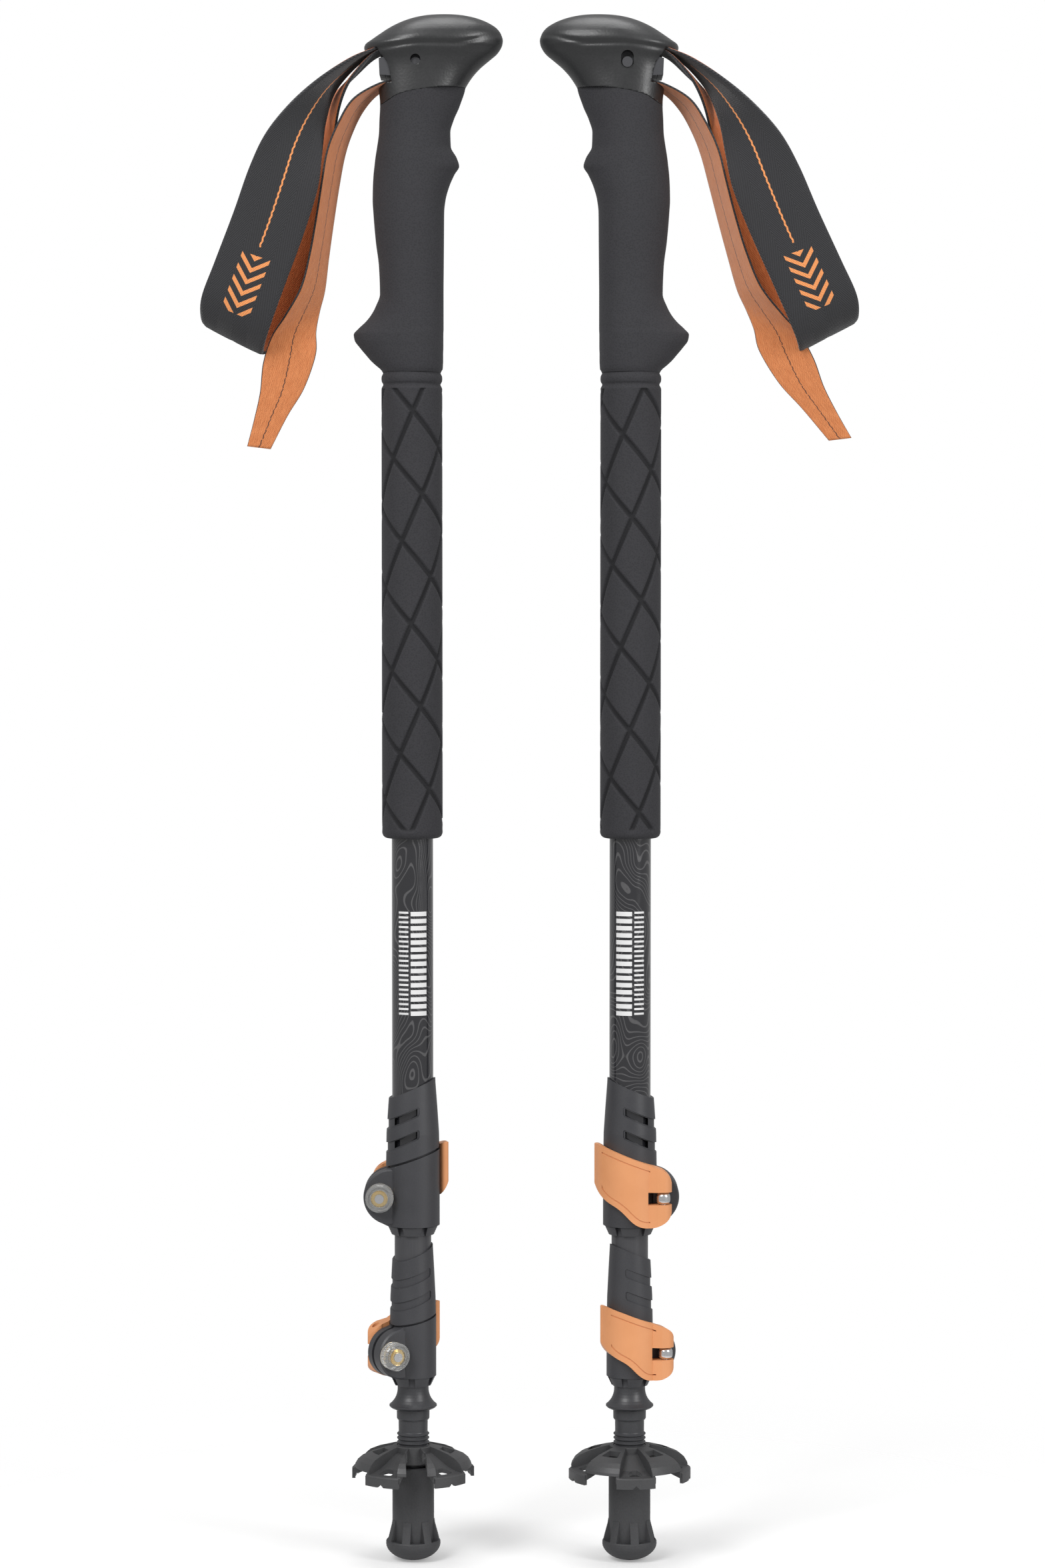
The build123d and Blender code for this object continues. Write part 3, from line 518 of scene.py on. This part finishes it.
def cut_prism(obj, side, outline, y_low, y_high):
    """Cut away the prism with the given (x, z) outline between two y."""
    count = len(outline)
    verts = [(x, y, z) for y in (y_low, y_high) for x, z in outline]
    faces = [tuple(range(count)), tuple(range(2 * count - 1, count - 1, -1))]
    for j in range(count):
        k = (j + 1) % count
        faces.append((j, j + count, k + count, k))
    cutter = make_object("cut", verts, faces, side, [MATERIALS["head"]])
    modifier = obj.modifiers.new("cut", "BOOLEAN")
    modifier.operation = "DIFFERENCE"
    modifier.object = cutter
    modifier.solver = "EXACT"
    depsgraph = bpy.context.evaluated_depsgraph_get()
    mesh = bpy.data.meshes.new_from_object(obj.evaluated_get(depsgraph))
    obj.modifiers.clear()
    obj.data = mesh
    bpy.data.objects.remove(cutter)


def close_sleeve(verts, faces, columns, bore_radius, end_heights):
    """Add the end faces and the bore; end_heights gives z from x, for the bottom and the top."""
    outer_rings = (0, len(verts) - columns)
    bore = len(verts)
    for outer, height in zip(outer_rings, end_heights):
        inner = len(verts)
        for t in circle_angles(columns):
            x = bore_radius * math.cos(t)
            verts.append((x, bore_radius * math.sin(t), height(x)))
        for j in range(columns):
            k = (j + 1) % columns
            if outer == 0:
                faces.append((outer + j, inner + j, inner + k, outer + k))
            else:
                faces.append((outer + j, outer + k, inner + k, inner + j))
    for j in range(columns):
        k = (j + 1) % columns
        faces.append((bore + j, bore + columns + j, bore + columns + k, bore + k))


# ===================================================================== head
# Seam between head and foam grip: x, z
SEAT = [(-40, 632.0), (-13, 634.3), (-5.7, 637.7), (3.1, 639.7), (12, 641.0), (23.3, 641.6),
        (45, 642.0)]
# Sections of the head: z, x on the strap side, x on the nose side, half width, nose taper
HEAD = [
    (630.0, -13.6, 19.0, 14.4, 0.00), (635.0, -13.6, 20.6, 14.6, 0.02),
    (641.0, -14.2, 23.0, 14.9, 0.05), (645.9, -15.0, 26.0, 15.1, 0.08),
    (650.0, -16.0, 29.6, 15.3, 0.11), (653.4, -17.6, 33.6, 15.7, 0.14),
    (656.3, -19.4, 37.0, 16.3, 0.17), (658.6, -20.4, 38.6, 16.9, 0.18),
    (660.0, -20.0, 39.2, 17.3, 0.18), (662.0, -17.4, 39.5, 17.2, 0.18),
    (664.5, -13.8, 38.8, 16.4, 0.18), (667.0, -10.0, 37.0, 14.8, 0.18),
    (669.4, -5.4, 33.4, 12.4, 0.16), (671.2, -0.6, 29.0, 9.8, 0.12),
    (672.3, 4.0, 24.6, 7.2, 0.08), (672.85, 8.4, 20.4, 4.2, 0.0),
    (673.0, 12.0, 17.0, 1.6, 0.0),
]
HEAD_COLUMNS = 128
HEAD_LEVELS = [*np.linspace(631, 656, 44), *np.linspace(656.4, 664, 26),
               *np.linspace(664.3, 671.6, 26),
               671.9, 672.2, 672.45, 672.65, 672.8, 672.92, 673.0]
HEAD_APEX = (14.5, 0, 673.05)
# Channel for the webbing, open on the strap side: outline x, z
CHANNEL = [(-30, 641.8), (-12, 643.0), (6, 644.0), (11.5, 646.8), (12.5, 653), (11.0, 659.2),
           (5, 662.4), (-6, 661.8), (-14, 658.0), (-30, 656.6)]
CHANNEL_HALF_WIDTH = 11.6
# Upright slot in the +y flank, round hole in the -y flank:
# y range, centre z, half length of the straight part, end radius
FLANK_HOLES = [(10.0, 25.0, 652.55, 0.85, 2.75), (-25.0, -10.0, 652.4, 0.0, 2.2)]
FLANK_HOLE_X = 2.0


def seat_z(x):
    return interpolate(SEAT, x)[0]


def head_point(section, z, t):
    """Point of the head at level z and angle t from the nose."""
    x_strap, x_nose, half_width, taper = section
    centre, reach = (x_strap + x_nose) / 2, (x_nose - x_strap) / 2
    c, s = math.cos(t), math.sin(t)
    x = centre + reach * c
    # crease between dome and body, higher towards the nose; the body below is set in slightly
    crease_z = 658.4 + 2.0 * smooth_step(-15, 5, x) + 4.2 * smooth_step(18, 38, x)
    crease = math.exp(-((z - crease_z + 1.0) / 1.15) ** 2) * (0.75 * abs(s) ** 1.3 + 0.10)
    inset = smooth_step(0, 7, crease_z - z) * 0.9 * abs(s)
    narrowing = 1.0 - (crease + inset) / 17.0
    squareness = abs(math.sin(2 * t))
    return (centre + reach * c * (1 + 0.02 * squareness) * (1 - crease * 0.012),
            half_width * s * (1 - taper * c) * narrowing * (1.0 + 0.035 * squareness ** 2),
            max(z, seat_z(x)))


def build_head(side):
    verts = []
    for z in HEAD_LEVELS:
        section = interpolate(HEAD, z)
        verts += [head_point(section, z, t) for t in circle_angles(HEAD_COLUMNS)]
    faces = grid_faces(len(HEAD_LEVELS), HEAD_COLUMNS)
    apex = len(verts)
    top = apex - HEAD_COLUMNS
    verts.append(HEAD_APEX)
    for j in range(HEAD_COLUMNS):
        faces.append((top + j, top + (j + 1) % HEAD_COLUMNS, apex))
    faces.append(tuple(reversed(range(HEAD_COLUMNS))))
    head = make_object(side + "_head_shell", verts, faces, side, [MATERIALS["head"]])

    cut_prism(head, side, CHANNEL, -CHANNEL_HALF_WIDTH, CHANNEL_HALF_WIDTH)
    for y_low, y_high, centre_z, half_length, radius in FLANK_HOLES:
        outline = []
        for t in circle_angles(32):
            shift = half_length if math.sin(t) >= 0 else -half_length
            outline.append((FLANK_HOLE_X + radius * math.cos(t),
                            centre_z + shift + radius * math.sin(t)))
        cut_prism(head, side, outline, y_low, y_high)
    smooth_shade(head.data)
    soften_edges(head, "edge", width=0.0004, angle_degrees=50)
    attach(head, side + "_upper")
    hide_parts(side + "_grip_head")


# ===================================================================== foam grip
# Sections of the grip: z, x on the strap side, x on the nose side, half width
GRIP = [
    (519.0, -12.6, 12.6, 12.6), (519.6, -12.9, 12.8, 12.8), (520.6, -13.7, 13.4, 13.2),
    (522.0, -15.4, 13.5, 13.5), (524.0, -17.6, 13.6, 13.7), (527.0, -20.2, 13.6, 13.9),
    (530.0, -22.7, 13.7, 14.0), (533.0, -24.8, 13.7, 14.1), (535.5, -25.2, 13.7, 14.1),
    (538.0, -23.2, 13.8, 13.9), (541.0, -20.0, 13.8, 13.8), (544.0, -17.6, 13.8, 13.6),
    (547.5, -15.7, 13.8, 13.5), (553.0, -13.8, 13.8, 13.4), (564.5, -14.2, 13.9, 13.6),
    (576.0, -15.6, 14.0, 14.0), (588.0, -16.6, 14.1, 14.4), (593.5, -16.9, 14.7, 14.5),
    (599.0, -16.8, 16.2, 14.6), (604.5, -16.5, 18.6, 14.5), (608.0, -16.1, 20.6, 14.4),
    (611.5, -15.7, 19.6, 14.3), (616.5, -14.9, 17.0, 14.1), (622.5, -14.1, 16.8, 14.0),
    (628.0, -13.9, 18.3, 14.1), (634.0, -13.6, 20.9, 14.4), (643.0, -13.6, 23.4, 14.7),
]
GRIP_BOTTOM = GRIP[0][0]
GRIP_TOP = GRIP[-1][0]
GRIP_COLUMNS = 112
GRIP_RINGS = 250
GRIP_CORE = 13.5            # reach beyond this is a bump, narrower than the body
GRIP_BORE_RADIUS = 8.95
SEAT_GAP = 0.02             # between the foam and the head


def build_grip(side):
    verts = []
    for z in np.linspace(GRIP_BOTTOM, GRIP_TOP, GRIP_RINGS):
        x_strap, x_nose, half_width = interpolate(GRIP, float(z))
        centre = 0.6 + 0.6 * smooth_step(590, 640, z)
        for t in circle_angles(GRIP_COLUMNS):
            c = math.cos(t)
            full = (x_nose - centre) if c > 0 else (centre - x_strap)
            core = min(full, GRIP_CORE)
            x = centre + (core + (full - core) * abs(c) ** 1.6) * c
            verts.append((x, half_width * math.sin(t), min(float(z), seat_z(x) - SEAT_GAP)))
    faces = grid_faces(GRIP_RINGS, GRIP_COLUMNS)
    close_sleeve(verts, faces, GRIP_COLUMNS, GRIP_BORE_RADIUS,
                 end_heights=(lambda x: GRIP_BOTTOM, lambda x: seat_z(x) - SEAT_GAP))
    grip = make_object(side + "_grip_body", verts, faces, side, [MATERIALS["foam"]])
    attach(grip, side + "_upper")
    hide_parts(side + "_grip_foam")


# ===================================================================== extension foam
# Profile of the sleeve under the grip: z, radius
EXTENSION = [
    (317.0, 10.8), (317.12, 11.4), (317.45, 12.1), (318.3, 12.85), (319.6, 13.2), (321, 13.2),
    (511.6, 13.2), (512.3, 13.1), (512.9, 12.85), (513.4, 12.55), (513.9, 12.45), (514.3, 12.55),
    (514.9, 12.95), (515.7, 13.15), (516.4, 13.2), (517.1, 13.15), (517.8, 12.95), (518.4, 12.6),
    (518.7, 12.5), (519.0, 12.5),
]
EXTENSION_BOTTOM = EXTENSION[0][0]
EXTENSION_TOP = EXTENSION[-1][0]
EXTENSION_RADIUS = 13.2
EXTENSION_BORE_RADIUS = 8.98
EXTENSION_COLUMNS = 160
EXTENSION_LEVELS = [EXTENSION_BOTTOM, 317.12, 317.45, 318.0, 318.6, 319.3,
                    *np.arange(320, 510.9, 0.40), *np.linspace(511.0, EXTENSION_TOP, 50)]
# Two families of slanting grooves that cross: z offset, rise per mm of arc, pitch in z
GROOVES = [(7.0, -1.1216, 31.0), (5.5, 2.1703, 45.0)]
GROOVE_DEPTH = 0.95
GROOVE_WALL = (0.75, 1.25)  # distance from the centre line where the wall starts and ends


def groove_at(z, arc):
    """1 inside a groove, 0 outside; arc is measured round the sleeve from -y."""
    deepest = 0.0
    for offset, slope, pitch in GROOVES:
        rise = (z - offset - slope * arc + pitch / 2) % pitch - pitch / 2
        distance = abs(rise) / math.sqrt(1 + slope ** 2)
        deepest = max(deepest, 1 - smooth_step(*GROOVE_WALL, distance))
    return float(deepest)


def build_extension(side):
    verts, groove = [], []
    for z in EXTENSION_LEVELS:
        radius = interpolate(EXTENSION, float(z))[0]
        fade = float(smooth_step(320.0, 322.0, z) * (1 - smooth_step(511.4, 512.2, z)))
        for t in circle_angles(EXTENSION_COLUMNS):
            arc = EXTENSION_RADIUS * ((t - 1.5 * math.pi + math.pi) % (2 * math.pi) - math.pi)
            depth = groove_at(z, arc) * fade
            grooved = radius - GROOVE_DEPTH * depth
            groove.append(depth)
            verts.append((grooved * math.cos(t), grooved * math.sin(t), float(z)))
    faces = grid_faces(len(EXTENSION_LEVELS), EXTENSION_COLUMNS)
    close_sleeve(verts, faces, EXTENSION_COLUMNS, EXTENSION_BORE_RADIUS,
                 end_heights=(lambda x: EXTENSION_BOTTOM, lambda x: EXTENSION_TOP))
    sleeve = make_object(side + "_extension_sleeve", verts, faces, side, [MATERIALS["foam"]])
    # the groove depth of each vertex drives the painted shade in the grooves of the foam
    add_point_values(sleeve, "groove", groove + [0.0] * (len(verts) - len(groove)))
    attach(sleeve, side + "_upper")
    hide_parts(side + "_extension_foam")


# ===================================================================== wrist strap
# Stations of the left strap: one edge x, y, z, the other edge x, y, z, thickness.
# The loop leaves the head, goes down on -y, round the bottom fold and back up on +y.
LOOP = [
    (2, -10.4, 661.5, 2, 9.4, 661.5, 1.1),
    (-8, -10.4, 660.15, -8, 9.4, 660.15, 1.1),
    (-17, -10.8, 656.95, -17, 9.2, 656.9, 1.2),
    (-26.4, -12.2, 652.6, -25.2, 8.6, 651.4, 1.8),
    (-39.5, -15.0, 643.8, -33.5, 4.4, 640.4, 2.1),
    (-51.5, -17.0, 633.2, -37.4, -1.2, 626.5, 2.4),
    (-61.8, -17.6, 620.8, -38.6, -8.0, 611.8, 2.6),
    (-69.0, -17.2, 606.4, -40.2, -12.4, 597.0, 2.7),
    (-76.0, -17.0, 587.0, -46.2, -13.8, 577.4, 2.7),
    (-84.2, -16.8, 565.8, -54.4, -14.0, 555.4, 2.7),
    (-89.8, -15.4, 551.4, -60.4, -12.8, 539.2, 2.7),
    (-90.6, -9.2, 543.2, -63.6, -7.6, 530.4, 2.7),
    (-89.0, 0.0, 540.2, -64.0, 0.0, 527.6, 2.7),
    (-85.2, 8.6, 543.4, -58.6, 7.6, 532.0, 2.7),
    (-79.0, 14.2, 552.6, -52.6, 12.6, 544.0, 2.7),
    (-73.5, 17.0, 565.0, -47.6, 13.8, 557.4, 2.7),
    (-66.0, 19.0, 583.0, -42.2, 13.4, 578.0, 2.7),
    (-59.0, 19.6, 600.0, -38.0, 10.0, 597.0, 2.6),
    (-50.0, 19.0, 618.0, -34.4, 4.8, 616.0, 2.3),
    (-41.2, 16.6, 632.4, -31.6, -1.8, 631.6, 2.0),
    (-32.0, 13.2, 642.0, -28.0, -7.0, 641.6, 1.8),
    (-24.8, 11.0, 648.4, -22.8, -9.2, 648.8, 1.6),
    (-16.5, 10.2, 655.4, -15.8, -9.8, 655.7, 1.1),
    (-8.0, 10.0, 658.8, -8.0, -10.0, 658.8, 1.1),
    (-1.0, 10.0, 660.1, -1.0, -10.0, 660.1, 1.1),
]
TAIL = [
    (8.0, -9.8, 645.6, 8.0, 9.8, 645.6, 1.3),
    (-6.0, -9.8, 644.5, -6.0, 9.8, 644.2, 1.3),
    (-15.4, -9.8, 641.8, -14.8, 9.8, 640.2, 1.3),
    (-25.0, -9.9, 635.8, -21.4, 9.6, 632.8, 1.4),
    (-31.0, -9.9, 626.4, -26.2, 9.4, 623.2, 1.4),
    (-35.9, -9.7, 614.6, -29.4, 9.2, 613.4, 1.4),
    (-38.4, -9.4, 601.0, -31.9, 9.2, 600.4, 1.4),
    (-40.9, -9.2, 585.5, -34.3, 9.2, 585.0, 1.4),
    (-43.7, -9.1, 570.0, -36.5, 9.3, 569.4, 1.4),
    (-47.5, -8.6, 555.6, -38.2, 9.0, 555.4, 1.4),
    (-54.4, -6.6, 543.6, -40.4, 8.2, 546.2, 1.4),
    (-60.6, -4.0, 534.4, -41.8, 5.5, 537.2, 1.4),
    (-64.4, -2.4, 523.0, -41.8, 2.5, 527.0, 1.4),
    (-65.8, -1.5, 510.6, -46.8, 1.5, 512.4, 1.4),
    (-68.4, -1.0, 499.0, -54.0, 1.0, 500.4, 1.4),
    (-71.5, -0.6, 487.2, -61.4, 0.6, 486.0, 1.4),
]


# In its pole frame the right strap is mirrored in y and hangs a little further out.
def hang_loop(x, y, z):
    drop = max(0.0, 640 - z)
    return (x - 0.075 * drop, -y, z + 0.012 * drop)


def hang_tail(x, y, z):
    swing = 0.055 * max(0.0, 640 - z) + 0.0009 * max(0.0, 620 - z) ** 2
    return (x - swing, -y, z + 0.05 * max(0.0, 560 - z))


def rehang(stations, hang):
    return [hang(*row[0:3]) + hang(*row[3:6]) + (row[6],) for row in stations]


STRAP_STATIONS = {"left": (LOOP, TAIL),
                  "right": (rehang(LOOP, hang_loop), rehang(TAIL, hang_tail))}
# Materials of the loop and of the tail: first face, second face, borders
STRAP_MATERIALS = {
    "left": (("web_black", "web_orange", "web_black"), ("web_tail", "web_black", "web_black")),
    "right": (("web_orange", "web_black", "web_black"), ("web_black", "web_tail", "web_black")),
}


def catmull_rom(stations, steps):
    points = np.array(stations, float)
    points = np.vstack([2 * points[0] - points[1], points, 2 * points[-1] - points[-2]])
    path = []
    for i in range(1, len(points) - 2):
        p0, p1, p2, p3 = points[i - 1:i + 3]
        for k in range(steps):
            t = k / steps
            path.append(0.5 * ((2 * p1) + (-p0 + p2) * t + (2 * p0 - 5 * p1 + 4 * p2 - p3) * t * t
                               + (-p0 + 3 * p1 - 3 * p2 + p3) * t ** 3))
    path.append(points[-2])
    return np.array(path)


def lengths(vectors):
    return np.linalg.norm(vectors, axis=1)


def ribbon(name, side, stations, materials, columns, crown):
    """Tape along the stations, columns vertices wide on each face, arched by the crown."""
    path = catmull_rom(stations, steps=12)
    thickness = path[:, 6]
    centre = (path[:, 0:3] + path[:, 3:6]) / 2
    across = path[:, 3:6] - path[:, 0:3]
    width = lengths(across)
    across /= width[:, None]
    along = np.gradient(centre, axis=0)
    along /= lengths(along)[:, None]
    normal = np.cross(along, across)
    normal /= lengths(normal)[:, None]
    distance = np.concatenate([[0], np.cumsum(lengths(np.diff(centre, axis=0)))])
    # positions across, -1 to 1, closer together towards the borders
    spread = math.pi / 2 * 0.86
    positions = np.sin(np.linspace(-1, 1, columns) * spread) / math.sin(spread)
    verts, uvs, edge = [], [], []
    for i in range(len(path)):
        for face_sign, row in ((1, positions), (-1, positions[::-1])):
            for u in row:
                # thin borders, a raised rim beside them and a shallow centre line
                border = 1 - 0.45 * abs(u) ** 8
                rim = 0.14 * math.exp(-((abs(u) - 0.90) / 0.05) ** 2)
                middle = -0.10 * math.exp(-(u / 0.05) ** 2)
                offset = (face_sign * thickness[i] / 2 * (border + rim + middle)
                          + crown * (1 - u * u) * 0.6)
                sideways = u * width[i] / 2
                verts.append(tuple(centre[i] + across[i] * sideways + normal[i] * offset))
                uvs.append((sideways, distance[i]))
                edge.append(1.0 if abs(u) > 0.999 else 0.0)
    ring = 2 * columns
    faces = grid_faces(len(path), ring)
    ring_materials = [0] * (columns - 1) + [2] + [1] * (columns - 1) + [2]
    material_index = ring_materials * (len(path) - 1) + [2, 2]
    faces.append(tuple(range(ring)))
    faces.append(tuple(reversed(range(len(verts) - ring, len(verts)))))
    tape = make_object(name, verts, faces, side, [MATERIALS[key] for key in materials],
                       material_index, uvs)
    add_point_values(tape, "edge", edge)
    return tape


def build_strap(side):
    loop_stations, tail_stations = STRAP_STATIONS[side]
    loop_materials, tail_materials = STRAP_MATERIALS[side]
    loop = ribbon(side + "_strap_loop", side, loop_stations, loop_materials,
                  columns=23, crown=0.25)
    tail = ribbon(side + "_strap_tail", side, tail_stations, tail_materials,
                  columns=17, crown=0.1)
    for tape in (loop, tail):
        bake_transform(tape)
    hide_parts(side + "_wrist_strap")


for side in SIDES:
    build_head(side)
    build_grip(side)
    build_extension(side)
    build_strap(side)


# ===================================================================== stage
def add_staged(name, data, location, target=None):
    """Put an object on the stage, looking at the target if there is one."""
    obj = bpy.data.objects.new(name, data)
    obj.location = location
    if target is not None:
        direction = Vector(target) - Vector(location)
        obj.rotation_euler = direction.to_track_quat("-Z", "Y").to_euler()
    bpy.context.scene.collection.objects.link(obj)
    return obj


def pale_floor():
    """Pale floor that fades out into the white studio with distance from the centre."""
    shader = Shader("floor_pale")
    place = shader.object_coords()
    patches = shader.noise(place, scale=6, detail=3)
    colour = shader.mix(patches, low=(0.90, 0.90, 0.90), high=(0.94, 0.94, 0.94))
    shader.surface({"Base Color": colour, "Roughness": 0.7})
    x, y, _ = shader.split(place)
    squares = [shader.math("POWER", shader.math("ABSOLUTE", axis), 2.0) for axis in (x, y)]
    radius = shader.math("SQRT", shader.math("ADD", *squares))
    fade = shader.remap(radius, source=(0.08, 0.40), target=(0.25, 1.0))
    clear = shader.node("ShaderNodeBsdfTransparent", {}).outputs[0]
    faded = shader.node("ShaderNodeMixShader",
                        {0: fade, 1: shader.principled.outputs[0], 2: clear})
    shader.feed(shader.tree.nodes["Material Output"].inputs[0], faded.outputs[0])
    return shader.material


def build_floor(half_size, z):
    material = pale_floor()
    mesh = bpy.data.meshes.new("floor")
    corners = [(-half_size, -half_size, 0), (half_size, -half_size, 0),
               (half_size, half_size, 0), (-half_size, half_size, 0)]
    mesh.from_pydata(corners, [], [(0, 1, 2, 3)])
    mesh.materials.append(material)
    add_staged("floor", mesh, (0, 0, z))


def build_world(light_strength, camera_strength):
    """White world, brighter to the camera than as a light."""
    world = bpy.data.worlds.new("studio")
    bpy.context.scene.world = world
    world.use_nodes = True
    tree = world.node_tree
    background = tree.nodes["Background"]
    background.inputs[0].default_value = (1, 1, 1, 1)
    light_path = tree.nodes.new("ShaderNodeLightPath")
    strength = tree.nodes.new("ShaderNodeMapRange")
    strength.inputs[3].default_value = light_strength
    strength.inputs[4].default_value = camera_strength
    tree.links.new(light_path.outputs["Is Camera Ray"], strength.inputs[0])
    tree.links.new(strength.outputs[0], background.inputs[1])


def area_light(name, location, target, size, power):
    light = bpy.data.lights.new(name, "AREA")
    light.shape = "RECTANGLE"
    light.size, light.size_y = size
    light.energy = power
    add_staged(name, light, location, target)


def build_camera(distance, height, centre_x, aim_height, half_view):
    """Camera in front, on -Y; half_view is half the height seen at the poles."""
    data = bpy.data.cameras.new("camera")
    data.sensor_fit = "VERTICAL"
    data.angle = 2 * math.atan(half_view / distance)
    data.clip_start = 0.05
    bpy.context.scene.camera = add_staged("camera", data, (centre_x, -distance, height),
                                          target=(centre_x, 0, aim_height))


build_floor(half_size=1.5, z=-0.0006)
build_world(light_strength=0.46, camera_strength=1.0)
area_light("key", (-0.9, -1.3, 1.5), target=(0, 0, 0.35), size=(0.7, 1.0), power=27)
area_light("fill", (1.2, -1.0, 0.9), target=(0, 0, 0.35), size=(0.5, 1.2), power=15)
area_light("top", (0, 0.1, 1.9), target=(0, 0, 0.3), size=(0.9, 0.9), power=10)
build_camera(distance=1.85, height=0.43, centre_x=0.0005, aim_height=0.3405, half_view=0.3412)
bpy.context.scene.view_settings.view_transform = "Standard"

bpy.context.view_layer.update()
